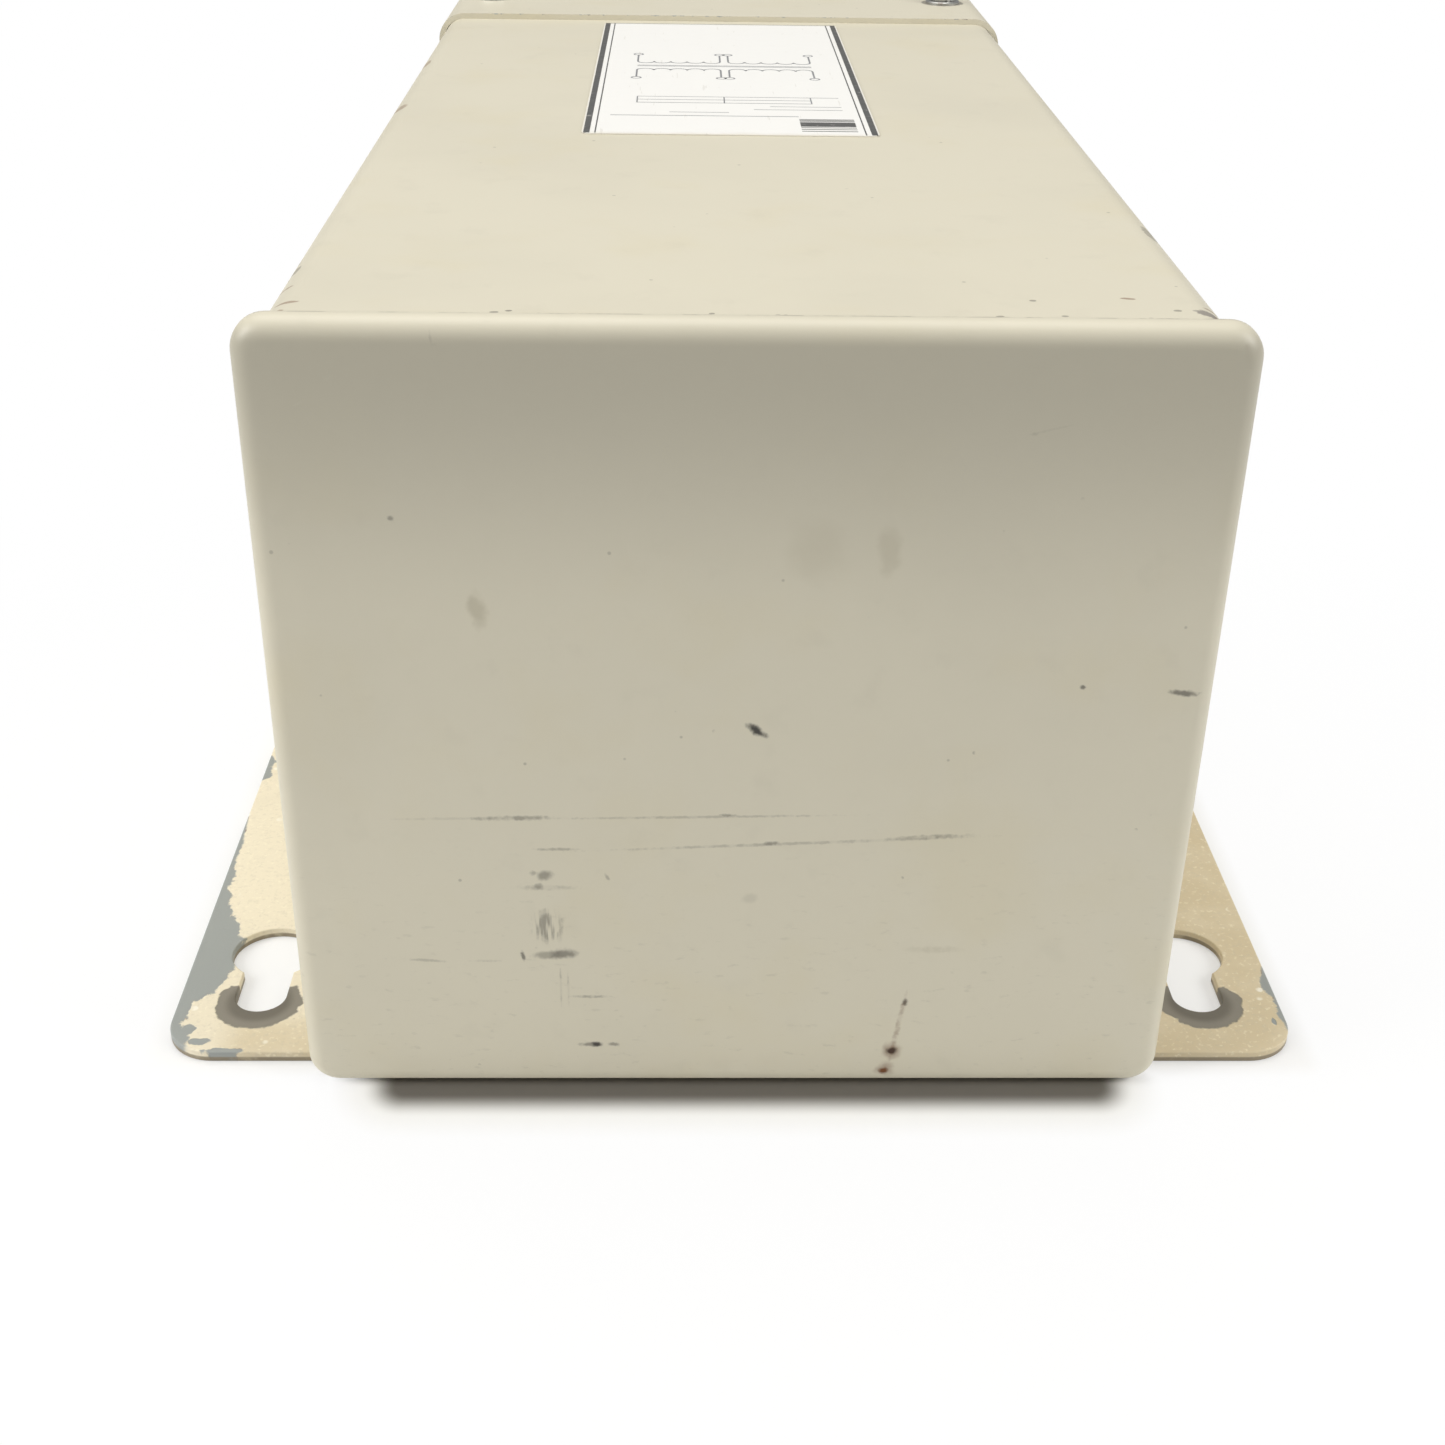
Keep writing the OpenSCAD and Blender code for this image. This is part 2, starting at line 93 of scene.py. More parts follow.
CAP_LOW, CAP_HIGH = node_box("end_cap")
BODY_LOW, BODY_HIGH = node_box("body_shell")
PLATE_LOW, PLATE_HIGH = node_box("back_plate")
LABEL_LOW, LABEL_HIGH = node_box("nameplate")
COVER_LOW, COVER_HIGH = node_box("wiring_cover")
MOUNTS = {mount["name"]: mount for mount in frame["record"]["mounts"]}
SEATS, ENTRIES = MOUNTS["keyhole_seats"], MOUNTS["keyhole_entries"]
SEAT_X = SEATS["dims"]["spacing_x_mm"] / 2
SEATS_Y = [SEATS["pos_m"][1] / MM + side * SEATS["dims"]["spacing_y_mm"] / 2 for side in (-1, 1)]
SEAT_RADIUS = SEATS["dims"]["hole_r_mm"]
KEYHOLE_REACH = (ENTRIES["pos_m"][1] - SEATS["pos_m"][1]) / MM
CONDUIT = Vector(MOUNTS["conduit_entry"]["pos_m"]) / MM
ALL_THROUGH = 1000
RUST = screen_colour(112, 66, 30)
DARK_RUST = screen_colour(62, 38, 20)
RUBBER_BLACK = (58, 56, 55)


# ---------------------------------------------------------------- settings


def colour_setting(name, description, default):
    return FloatVectorProperty(
        name=name, description=description, subtype="COLOR", size=3, min=0, max=1,
        default=screen_colour(*default),
    )


def length_setting(name, description, default):
    return FloatProperty(name=name, description=description + ", in millimetres", default=default)


class PaintSettings(bpy.types.PropertyGroup):
    """Colours and wear of the painted steel."""

    body_colour: colour_setting("Body", "Enamel on the body, the end cap and the cover", (213, 207, 187))
    plate_colour: colour_setting("Plate", "Enamel on the mounting plate", (238, 228, 203))
    primer_colour: colour_setting("Primer", "Grey coat that shows where enamel has chipped", (156, 160, 157))
    bare_colour: colour_setting(
        "Rubbed steel", "Steel rubbed bare and soiled under the mounting washers", (136, 131, 119),
    )
    roughness: FloatProperty(
        name="Roughness", description="Roughness of clean enamel", min=0, max=1, default=0.42,
    )
    washer_reach: length_setting("Washer mark", "How far the bare marks reach round the keyhole seats", 4.2)


class CapSettings(bpy.types.PropertyGroup):
    """Shape of the pressed end cap, within the frame's own size."""

    sheet: length_setting("Sheet", "Sheet thickness", 1.8)
    corner: length_setting("Corner", "Corner radius", 6.0)
    bend: length_setting("Bend", "Radius of the bend to the rim", 3.8)
    crown: length_setting("Crown", "Rise of the face at its middle", 0.35)


class LabelSettings(bpy.types.PropertyGroup):
    """Printing on the blank nameplate."""

    margin: length_setting("Margin", "Border inset", 0.4)
    bar: length_setting("Side bar", "Width of the dark side bars", 1.4)
    rule: length_setting("Rule", "Width of the thin rules", 0.3)
    ink: colour_setting("Ink", "Colour of the printing", (82, 82, 80))
    fine_ink: colour_setting("Fine ink", "Colour of the thin rules and the diagram", (134, 135, 138))


class StudioSettings(bpy.types.PropertyGroup):
    """Camera and lights."""

    lens: length_setting("Lens", "Focal length", 47.91)
    pitch: FloatProperty(name="Pitch", description="Downward tilt, in degrees", default=29.034)
    yaw: FloatProperty(name="Yaw", description="Turn to the right, in degrees", default=1.454)
    roll: FloatProperty(name="Roll", description="Roll about the line of sight, in degrees", default=0.934)
    camera_place: FloatVectorProperty(
        name="Camera", description="Camera position, from the middle of the end cap's lower edge",
        subtype="TRANSLATION", size=3, default=(-0.01097, -0.29462, 0.24532),
    )
    key_power: FloatProperty(name="Key", description="Light overhead, in watts", default=12.0)
    left_power: FloatProperty(name="Left", description="Light on the left, in watts", default=13.0)
    right_power: FloatProperty(name="Right", description="Light on the right, in watts", default=10.0)
    sky: FloatProperty(name="Sky", description="Strength of the surroundings", default=0.3)
    shade_reach: length_setting("Shade reach", "Width of the deep shadow round the foot of the part", 18.0)


# ---------------------------------------------------------------- materials


class Finish:
    """A procedural material, built a node at a time. Lengths are millimetres of the part's own frame."""

    def __init__(self, name, colour, roughness, metallic=0.0):
        self.material = bpy.data.materials.new(name)
        self.material.use_nodes = True
        self.tree = self.material.node_tree
        self.shader = self.tree.nodes["Principled BSDF"]
        self.shader.inputs["Metallic"].default_value = metallic
        self.colour = (*colour, 1.0)
        self.roughness = roughness
        self.height = 0.0
        place = self.add("ShaderNodeTexCoord").outputs["Object"]
        scaled = self.add("ShaderNodeVectorMath", {0: place, "Scale": 1 / MM}, operation="SCALE")
        self.place = scaled.outputs[0]
        self.x, self.y, self.z = self.add("ShaderNodeSeparateXYZ", {0: self.place}).outputs

    def add(self, kind, inputs=None, **settings):
        node = self.tree.nodes.new(kind)
        for key, value in settings.items():
            setattr(node, key, value)
        for key, value in (inputs or {}).items():
            self.feed(node.inputs[key], value)
        return node

    def feed(self, socket, value):
        if isinstance(value, bpy.types.NodeSocket):
            self.tree.links.new(value, socket)
        else:
            socket.default_value = value

    def calc(self, operation, a, b=0.0, c=0.0):
        return self.add("ShaderNodeMath", {0: a, 1: b, 2: c}, operation=operation).outputs[0]

    def both(self, *masks):
        """Where every mask holds."""
        result = masks[0]
        for mask in masks[1:]:
            result = self.calc("MULTIPLY", result, mask)
        return result

    def either(self, *masks):
        """Where any mask holds."""
        result = masks[0]
        for mask in masks[1:]:
            result = self.calc("MAXIMUM", result, mask)
        return result

    def ramp(self, value, low, high, to_low=0.0, to_high=1.0):
        """A smooth step from to_low to to_high as value goes from low to high, which may fall."""
        inputs = {"Value": value, "From Min": low, "From Max": high, "To Min": to_low, "To Max": to_high}
        return self.add("ShaderNodeMapRange", inputs, interpolation_type="SMOOTHSTEP").outputs[0]

    def noise(self, size, detail=3.0, stretch=(1, 1, 1), seed=0.0, rough=0.55):
        """Noise whose features are about size across, drawn out by stretch."""
        scale = tuple(1 / (size * s) for s in stretch)
        inputs = {"Vector": self.place, "Location": (seed,) * 3, "Scale": scale}
        placed = self.add("ShaderNodeMapping", inputs)
        inputs = {"Vector": placed.outputs[0], "Scale": 1.0, "Detail": detail, "Roughness": rough}
        return self.add("ShaderNodeTexNoise", inputs).outputs[0]

    def cells(self, size, seed=0.0):
        """Distance to scattered points about size apart, as a share of size."""
        inputs = {"Vector": self.place, "Location": (seed,) * 3, "Scale": (1 / size,) * 3}
        placed = self.add("ShaderNodeMapping", inputs)
        scattered = self.add("ShaderNodeTexVoronoi", {"Vector": placed.outputs[0], "Scale": 1.0})
        return scattered.outputs["Distance"]

    def spot(self, centre, half, turn=(0, 0, 0), ragged=0.35, grain=1.2, soft=0.35):
        """A mask over an oval, with its edge broken up."""
        inputs = {"Vector": self.place, "Location": centre, "Rotation": turn, "Scale": half}
        placed = self.add("ShaderNodeMapping", inputs, vector_type="TEXTURE")
        reach = self.add("ShaderNodeVectorMath", {0: placed.outputs[0]}, operation="LENGTH").outputs["Value"]
        smooth = self.calc("SUBTRACT", reach, ragged)
        broken = self.calc("MULTIPLY_ADD", self.noise(grain, 2), 2 * ragged, smooth)
        return self.ramp(broken, 1.0 + soft / 2, 1.0 - soft / 2)

    def gap_to(self, coordinate, low, high):
        """Distance to the nearer of two planes across one axis."""
        above = self.calc("SUBTRACT", coordinate, low)
        below = self.calc("SUBTRACT", high, coordinate)
        return self.calc("MINIMUM", above, below)

    def edge_gap(self, low, high):
        """Distance to the nearest edge of a box, for a point on its surface."""
        gaps = [self.gap_to(c, low[i], high[i]) for i, c in enumerate((self.x, self.y, self.z))]
        smaller = self.calc("MINIMUM", gaps[0], gaps[1])
        larger = self.calc("MAXIMUM", gaps[0], gaps[1])
        return self.calc("MAXIMUM", smaller, self.calc("MINIMUM", larger, gaps[2]))

    def distance_outside(self, low, high):
        """Distance on the plan from a rectangle."""
        gaps = []
        for coordinate, least, most in ((self.x, low[0], high[0]), (self.y, low[1], high[1])):
            beyond = self.calc("MULTIPLY", self.gap_to(coordinate, least, most), -1)
            gaps.append(self.calc("POWER", self.calc("MAXIMUM", beyond, 0), 2))
        return self.calc("SQRT", self.calc("ADD", *gaps))

    def layer(self, mask, colour=None, roughness=None, raised=0.0):
        """Lays a colour, a roughness or a step in height over what is there, where mask holds."""
        if colour is not None:
            mix = self.add("ShaderNodeMix", {0: mask, 6: self.colour, 7: (*colour, 1.0)}, data_type="RGBA")
            self.colour = mix.outputs[2]
        if roughness is not None:
            mix = self.add("ShaderNodeMix", {0: mask, 2: self.roughness, 3: roughness}, data_type="FLOAT")
            self.roughness = mix.outputs[0]
        if raised:
            self.height = self.calc("MULTIPLY_ADD", mask, raised, self.height)

    def fade(self, mask, share):
        return self.calc("MULTIPLY", mask, share)

    def done(self):
        """Feeds the shader and gives the material."""
        self.feed(self.shader.inputs["Base Color"], self.colour)
        self.feed(self.shader.inputs["Roughness"], self.roughness)
        if isinstance(self.height, bpy.types.NodeSocket):
            bump = self.add("ShaderNodeBump", {"Distance": MM, "Height": self.height, "Strength": 1.0})
            self.feed(self.shader.inputs["Normal"], bump.outputs[0])
        return self.material


def tone(colour, share):
    """The same colour, darker or lighter."""
    return tuple(min(1.0, c * share) for c in colour)


def enamel(name, colour, roughness, seed=0.0):
    """Aged semi-gloss enamel: clouded, slightly soiled, with orange peel."""
    finish = Finish(name, colour, roughness)
    cloud = finish.ramp(finish.noise(70, 4, seed=seed), 0.42, 0.68)
    finish.layer(finish.fade(cloud, 0.5), tone(colour, 0.93))
    yellowed = finish.ramp(finish.noise(28, 3, seed=seed + 7), 0.5, 0.75)
    finish.layer(finish.fade(yellowed, 0.35), (colour[0] * 0.97, colour[1] * 0.94, colour[2] * 0.84))
    handled = finish.ramp(finish.noise(9, 4, seed=seed + 3), 0.56, 0.78)
    finish.layer(finish.fade(handled, 0.16), tone(colour, 0.78), roughness + 0.12)
    pepper = finish.ramp(finish.cells(5.5, seed), 0.085, 0.045)
    sparse = finish.ramp(finish.noise(11, 2, seed=seed + 5), 0.58, 0.62)
    finish.layer(finish.both(finish.fade(pepper, 0.55), sparse), tone(colour, 0.42))
    finish.height = finish.calc("MULTIPLY", finish.noise(1.5, 2, seed=seed), 0.012)
    return finish


def chip(finish, mask, primer, depth=0.09):
    """Enamel broken away to the primer, its rim rusted in places."""
    finish.layer(mask, primer, 0.5, -depth)
    rusting = finish.ramp(finish.noise(3.5, 3, seed=11), 0.58, 0.7)
    rim = finish.both(finish.ramp(mask, 0.05, 0.5), finish.ramp(mask, 1.0, 0.6))
    finish.layer(finish.both(finish.fade(rim, 0.7), rusting), RUST)


def edge_chips(finish, low, high, primer, reach, seed=0.0, amount=0.6):
    """Chips along the edges of a box-shaped part."""
    patch = finish.ramp(finish.noise(16, 3, seed=seed + 21), 1 - amount, 1.14 - amount, 0.0, reach)
    ragged = finish.calc("MULTIPLY_ADD", finish.noise(2.2, 3, seed=seed), 2.6, finish.edge_gap(low, high))
    chip(finish, finish.ramp(finish.calc("SUBTRACT", patch, ragged), -1.3, -1.0), primer)


# Lengths in millimetres, turn in degrees, strength from 0 to 1
Mark = namedtuple("Mark", "x z length width turn strength tint")
INK_BLACK = screen_colour(40, 38, 36)
SCUFF_GREY = screen_colour(96, 92, 84)
SMUDGE = screen_colour(150, 140, 112)
PALE_NICK = screen_colour(236, 232, 214)
CAP_MARKS = (
    Mark(2.6, 80.1, 3.4, 1.4, -36, 0.95, INK_BLACK),
    Mark(77.2, 87.8, 4.4, 1.1, -6, 0.8, SCUFF_GREY),
    Mark(-41.0, 61.8, 12.0, 0.9, 1, 0.55, SCUFF_GREY),
    Mark(-54.0, 61.6, 15.0, 0.5, 1, 0.14, SCUFF_GREY),
    Mark(-8.0, 62.2, 40.0, 0.5, 1, 0.32, SCUFF_GREY),
    Mark(-2.5, 62.6, 2.4, 0.6, 0, 0.5, SCUFF_GREY),
    Mark(10.0, 56.6, 54.0, 0.6, 2.6, 0.32, SCUFF_GREY),
    Mark(34.5, 58.0, 12.0, 0.9, 3, 0.5, SCUFF_GREY),
    Mark(5.5, 56.6, 3.0, 0.7, 6, 0.5, SCUFF_GREY),
    Mark(-33.5, 55.2, 6.5, 0.6, 0, 0.4, SCUFF_GREY),
    Mark(-35.7, 49.4, 2.6, 2.0, 30, 0.6, SCUFF_GREY),
    Mark(-37.6, 50.0, 1.2, 0.9, 0, 0.4, SCUFF_GREY),
    Mark(-35.2, 46.8, 9.0, 1.0, 0, 0.3, SCUFF_GREY),
    Mark(-36.8, 47.2, 1.3, 1.1, 20, 0.45, SCUFF_GREY),
    Mark(-24.2, 49.2, 0.6, 1.4, 30, 0.4, SCUFF_GREY),
    Mark(-35.6, 31.6, 4.4, 1.7, 2, 0.5, SCUFF_GREY),
    Mark(-32.4, 31.9, 4.4, 2.0, 4, 0.72, SCUFF_GREY),
    Mark(-40.2, 31.4, 0.7, 2.0, 12, 0.8, SCUFF_GREY),
    Mark(-58.5, 30.3, 6.0, 0.6, -4, 0.3, SCUFF_GREY),
    Mark(-47.5, 30.2, 5.0, 0.5, 0, 0.2, SCUFF_GREY),
    Mark(-27.6, 21.9, 6.5, 0.6, 0, 0.45, SCUFF_GREY),
    Mark(-33.3, 24.4, 0.4, 7.0, 0, 0.35, SCUFF_GREY),
    Mark(-31.9, 24.0, 0.4, 6.0, 0, 0.25, SCUFF_GREY),
    Mark(-27.7, 10.4, 3.6, 1.0, 0, 0.65, SCUFF_GREY),
    Mark(-26.7, 10.4, 1.6, 1.1, 0, 0.9, INK_BLACK),
    Mark(-23.5, 10.4, 1.8, 0.8, 0, 0.6, SCUFF_GREY),
    Mark(-45.4, 103.3, 2.6, 5.6, 10, 0.35, SMUDGE),
    Mark(12.3, 114.8, 9.0, 11.0, 30, 0.14, SMUDGE),
    Mark(24.1, 114.9, 3.6, 8.0, 0, 0.24, SMUDGE),
    Mark(2.0, 44.4, 2.4, 2.0, 0, 0.14, SCUFF_GREY),
    Mark(37.0, 33.0, 9.0, 1.4, 0, 0.18, SMUDGE),
    Mark(-58.9, 119.9, 0.9, 0.8, 0, 0.8, SCUFF_GREY),
    Mark(59.2, 88.9, 0.9, 0.8, 0, 0.8, SCUFF_GREY),
    Mark(-50.5, 150.3, 0.4, 1.9, 8, 0.55, SCUFF_GREY),
    Mark(-50.0, 149.5, 1.0, 0.4, 0, 0.5, SCUFF_GREY),
    Mark(49.3, 136.2, 6.2, 0.35, 14, 0.4, SCUFF_GREY),
    Mark(46.5, 135.4, 0.8, 0.6, 0, 0.6, SCUFF_GREY),
    Mark(79.6, 148.6, 1.2, 3.4, 16, 0.4, RUST),
    Mark(-66.9, 144.0, 2.0, 0.5, 30, 0.7, PALE_NICK),
    Mark(-72.3, 139.6, 1.6, 0.5, 25, 0.5, PALE_NICK),
    Mark(30.3, 8.7, 1.7, 1.6, 0, 1.0, DARK_RUST),
    Mark(29.0, 3.9, 1.6, 1.3, 20, 1.0, RUST),
    Mark(32.3, 20.6, 0.9, 1.3, 0, 0.8, DARK_RUST),
)
RUST_RUNS = (
    Mark(31.2, 14.4, 0.9, 12.5, -8, 0.4, RUST),
    Mark(30.3, 8.9, 3.2, 3.2, 0, 0.5, RUST),
    Mark(29.2, 4.3, 3.0, 3.0, 0, 0.5, RUST),
)


def face_mark(finish, mark, y):
    """One scuff, smudge or speck on the upright face of the end cap."""
    half = (mark.length / 2, ALL_THROUGH, mark.width / 2)
    turn = (0, -math.radians(mark.turn), 0)
    fine = min(mark.length, mark.width)
    spot = finish.spot((mark.x, y, mark.z), half, turn, ragged=0.7, grain=max(0.7, fine * 0.9), soft=1.1)
    if max(mark.length, mark.width) > 4 * fine:
        skips = finish.ramp(finish.noise(2.2, 3, seed=mark.x), 0.34, 0.56, 0.25, 1.0)
        spot = finish.both(spot, skips)
    finish.layer(finish.fade(spot, mark.strength), mark.tint, 0.6)


def cap_enamel(paint):
    """The end cap: scuffed, with rust spots near its foot, dirt along the seam and painted shade over the
    upper face.
    """
    finish = enamel("cap_enamel", paint.body_colour, paint.roughness, seed=2)
    for mark in RUST_RUNS + CAP_MARKS:
        face_mark(finish, mark, CAP_LOW.y)
    hatch = finish.ramp(finish.noise(0.8, 2, stretch=(1, 1, 9)), 0.42, 0.62)
    hatched = finish.spot((-35.4, CAP_LOW.y, 38.2), (2.6, ALL_THROUGH, 3.0), ragged=0.5, soft=0.9)
    finish.layer(finish.both(finish.fade(hatched, 0.6), hatch), SCUFF_GREY, 0.6)
    # Painted shade: the face is darkened towards its top in a darker copy of the enamel, stopping below the
    # bend
    below_bend = finish.ramp(finish.z, CAP_HIGH.z - 0.6, CAP_HIGH.z - 4.0, 0.0, 1.0)
    painted_shade_upper_face = finish.both(finish.ramp(finish.z, 98, 148, 0, 0.95), below_bend)
    finish.layer(painted_shade_upper_face, tone(paint.body_colour, 0.73))
    dust = finish.ramp(finish.noise(3, 4, stretch=(1, 1, 0.4), seed=8), 0.6, 0.75)
    low_face = finish.ramp(finish.z, 75, 20)
    finish.layer(finish.both(finish.fade(dust, 0.12), low_face), SCUFF_GREY)
    seam = finish.ramp(finish.y, CAP_HIGH.y - 0.9, CAP_HIGH.y)
    finish.layer(finish.both(finish.fade(seam, 0.7), finish.ramp(finish.noise(4, 3), 0.42, 0.62)), SCUFF_GREY)
    return finish.done()


# x, y, half its size on each, turn, strength, tint
BODY_MARKS = (
    (77.2, -174.6, 3.2, 1.5, -37, 0.95, screen_colour(140, 134, 126)),
    (78.6, -175.9, 1.5, 0.7, -37, 0.9, RUST),
    (78.2, -171.0, 1.8, 0.6, -20, 0.5, RUST),
    (-76.1, -172.4, 1.9, 0.6, 8, 0.55, RUST),
    (-78.2, -162.2, 1.3, 0.6, 20, 0.45, RUST),
    (-76.9, -176.6, 1.0, 0.6, 0, 0.6, RUST),
    (-78.6, -150.0, 0.8, 2.2, 0, 0.5, SCUFF_GREY),
    (-41.6, -177.0, 0.8, 0.4, 0, 0.7, SCUFF_GREY),
    (-39.3, -176.2, 0.6, 0.4, 0, 0.7, SCUFF_GREY),
    (-6.0, -176.8, 0.5, 0.4, 0, 0.6, SCUFF_GREY),
    (41.4, -177.0, 0.7, 0.4, 0, 0.6, SCUFF_GREY),
    (52.2, -176.6, 0.6, 0.4, 0, 0.6, SCUFF_GREY),
    (48.2, -168.0, 0.6, 0.5, 0, 0.6, SCUFF_GREY),
    (64.6, -166.4, 1.3, 0.5, -12, 0.6, RUST),
    (71.6, -173.0, 0.7, 0.5, 0, 0.6, SCUFF_GREY),
    (-77.8, -14.0, 1.6, 3.0, 0, 0.45, RUST),
    (-78.4, 44.0, 1.2, 4.0, 0, 0.45, RUST),
    (78.0, -121.4, 1.3, 5.0, 0, 0.45, SCUFF_GREY),
)


def body_enamel(paint):
    """The body: dirt specks behind the cap's rim, chips on its long edges and painted shade along its foot.
    """
    finish = enamel("body_enamel", paint.body_colour, paint.roughness, seed=5)
    seam_y = CAP_HIGH.y
    near_seam = finish.ramp(finish.y, seam_y + 10, seam_y + 6)
    specks = finish.ramp(finish.cells(4.2, 3), 0.14, 0.08)
    finish.layer(finish.both(near_seam, finish.fade(specks, 0.5)), SCUFF_GREY)
    crevice = finish.ramp(finish.y, seam_y + 0.7, seam_y - 0.2)
    finish.layer(finish.fade(crevice, 0.75), SCUFF_GREY, 0.7)
    edge_chips(finish, BODY_LOW, BODY_HIGH, paint.primer_colour, 2.4, seed=4, amount=0.4)
    top = BODY_HIGH.z
    for x, y, half_x, half_y, turn, strength, tint in BODY_MARKS:
        tilt = (0, 0, math.radians(turn))
        spot = finish.spot((x, y, top - 0.6), (half_x, half_y, 9), tilt, ragged=0.45, grain=0.9)
        finish.layer(finish.fade(spot, strength), tint, 0.6, -0.05)
    # Painted shade: the sides are darkened in a band along their foot, where they meet the plate
    foot = finish.ramp(finish.z, BODY_LOW.z + 3.5, BODY_LOW.z)
    finish.layer(finish.fade(foot, 0.4), tone(paint.body_colour, 0.45), 0.65)
    return finish.done()


PLATE_CORNER = 10.0
# side of the plate, y, half its length, width
PLATE_CHIPS = (
    (-1, -148, 62, 2.3),
    (-1, -149, 20, 6.4),
    (-1, -71, 7, 2.6),
    (-1, 150, 30, 2.6),
    (-1, 40, 9, 2.0),
    (1, -164, 13, 1.6),
    (1, 146, 26, 2.4),
    (1, 15, 8, 1.4),
)
# x, y, half its size on each
CORNER_CHIPS = (
    (-109.6, -175.0, 1.5, 1.9),
    (-106.4, -178.8, 2.3, 1.1),
    (-101.5, -181.6, 4.2, 0.8),
    (-111.6, -168.0, 1.0, 2.0),
    (110.9, -172.0, 0.5, 1.2),
    (109.0, 184.5, 2.6, 1.8),
)


def plate_edge_gap(finish):
    """Distance to the plate's rounded outline, from inside it."""
    gaps = [finish.calc("SUBTRACT", PLATE_CORNER, finish.gap_to(finish.x, PLATE_LOW.x, PLATE_HIGH.x)),
            finish.calc("SUBTRACT", PLATE_CORNER, finish.gap_to(finish.y, PLATE_LOW.y, PLATE_HIGH.y))]
    outside = [finish.calc("POWER", finish.calc("MAXIMUM", gap, 0), 2) for gap in gaps]
    round_corner = finish.calc("SQRT", finish.calc("ADD", *outside))
    straight = finish.calc("MINIMUM", finish.calc("MAXIMUM", *gaps), 0)
    return finish.calc("SUBTRACT", PLATE_CORNER, finish.calc("ADD", round_corner, straight))


def plate_enamel(paint):
    """The mounting plate: cream enamel with painted shade in tan on the right ear and beside the cap, broken
    away on the outer edges and under the washers.
    """
    finish = enamel("plate_enamel", paint.plate_colour, paint.roughness + 0.1, seed=9)
    # Painted shade: tan over the right ear and beside the cap, broken up by noise
    painted_shade_beside_cap = finish.both(finish.ramp(finish.y, -168, -176), finish.ramp(finish.x, -106, -97, 0.0, 0.75))
    painted_shade_right_ear = finish.ramp(finish.x, -60, 60)
    clouded = finish.ramp(finish.noise(14, 4, seed=33), 0.3, 0.6, 0.7, 1.0)
    finish.layer(finish.both(finish.either(painted_shade_beside_cap, painted_shade_right_ear), clouded), screen_colour(214, 198, 164))
    grit = finish.ramp(finish.noise(0.9, 3, seed=4), 0.5, 0.7)
    finish.layer(finish.fade(grit, 0.25), tone(paint.plate_colour, 0.66))
    pale = finish.ramp(finish.noise(1.1, 3, seed=14), 0.56, 0.7)
    finish.layer(finish.fade(pale, 0.35), tone(paint.plate_colour, 1.2))
    finish.height = finish.calc("MULTIPLY_ADD", finish.noise(0.8, 2, seed=6), 0.03, finish.height)
    outer = plate_edge_gap(finish)
    nicks = finish.both(finish.ramp(finish.cells(5, 2), 0.2, 0.12), finish.ramp(outer, 12, 5))
    thinned = finish.ramp(finish.noise(9, 2, seed=41), 0.5, 0.56)
    finish.layer(finish.both(nicks, thinned), screen_colour(248, 242, 224), 0.5, -0.05)
    off_the_end = finish.ramp(finish.gap_to(finish.y, PLATE_LOW.y, PLATE_HIGH.y), 0.0, 7.0)
    reach = 0.0
    for side, y, half, width in PLATE_CHIPS:
        from_middle = finish.calc("ABSOLUTE", finish.calc("SUBTRACT", finish.y, y))
        along = finish.ramp(from_middle, half, half * 0.35, 0, width)
        here = finish.ramp(finish.calc("MULTIPLY", finish.x, side), 60, 61)
        reach = finish.calc("ADD", reach, finish.both(along, here, off_the_end))
    ragged = finish.calc("MULTIPLY_ADD", finish.noise(6, 5, seed=3, rough=0.62), 9.0, -4.5)
    ragged = finish.both(ragged, finish.ramp(reach, 0, 2.5))
    side_chips = finish.ramp(finish.calc("ADD", finish.calc("SUBTRACT", outer, reach), ragged), 0.3, -0.3)
    side_chips = finish.both(side_chips, finish.ramp(reach, 0.1, 0.4))
    chips = [finish.spot((x, y, PLATE_HIGH.z), (wide, long, 9), ragged=0.7, grain=2.4, soft=0.2)
             for x, y, wide, long in CORNER_CHIPS]
    chip(finish, finish.either(side_chips, *chips), paint.primer_colour, 0.12)
    away = finish.calc("SUBTRACT", finish.calc("ABSOLUTE", finish.x), SEAT_X)
    for y in SEATS_Y:
        along = finish.calc("SUBTRACT", finish.y, y)
        lower = finish.calc("ADD", along, 1.9)
        squares = finish.calc("ADD", finish.calc("POWER", away, 2), finish.calc("POWER", lower, 2))
        reach = finish.calc("SQRT", squares)
        rough_edge = finish.calc("MULTIPLY_ADD", finish.noise(4, 4, seed=17), 3.6, reach)
        limit = SEAT_RADIUS + paint.washer_reach + 1.2
        ring = finish.ramp(rough_edge, limit + 0.25, limit - 0.25)
        behind = finish.calc("MULTIPLY_ADD", finish.noise(3, 2, seed=2), 3.0, along)
        mark = finish.both(ring, finish.ramp(behind, 5.2, 4.6))
        finish.layer(mark, paint.bare_colour, 0.55, -0.1)
        soiled = finish.ramp(reach, SEAT_RADIUS + 2.6, SEAT_RADIUS + 0.2)
        finish.layer(finish.both(mark, finish.fade(soiled, 0.6)), screen_colour(88, 82, 70))
    cut_edge = finish.ramp(finish.z, 1.3, 0.9)
    cut_noise = finish.ramp(finish.noise(5, 4, seed=23), 0.3, 0.5, 0.45, 0.9)
    finish.layer(finish.both(cut_edge, cut_noise), screen_colour(140, 128, 106), 0.5)
    return finish.done()


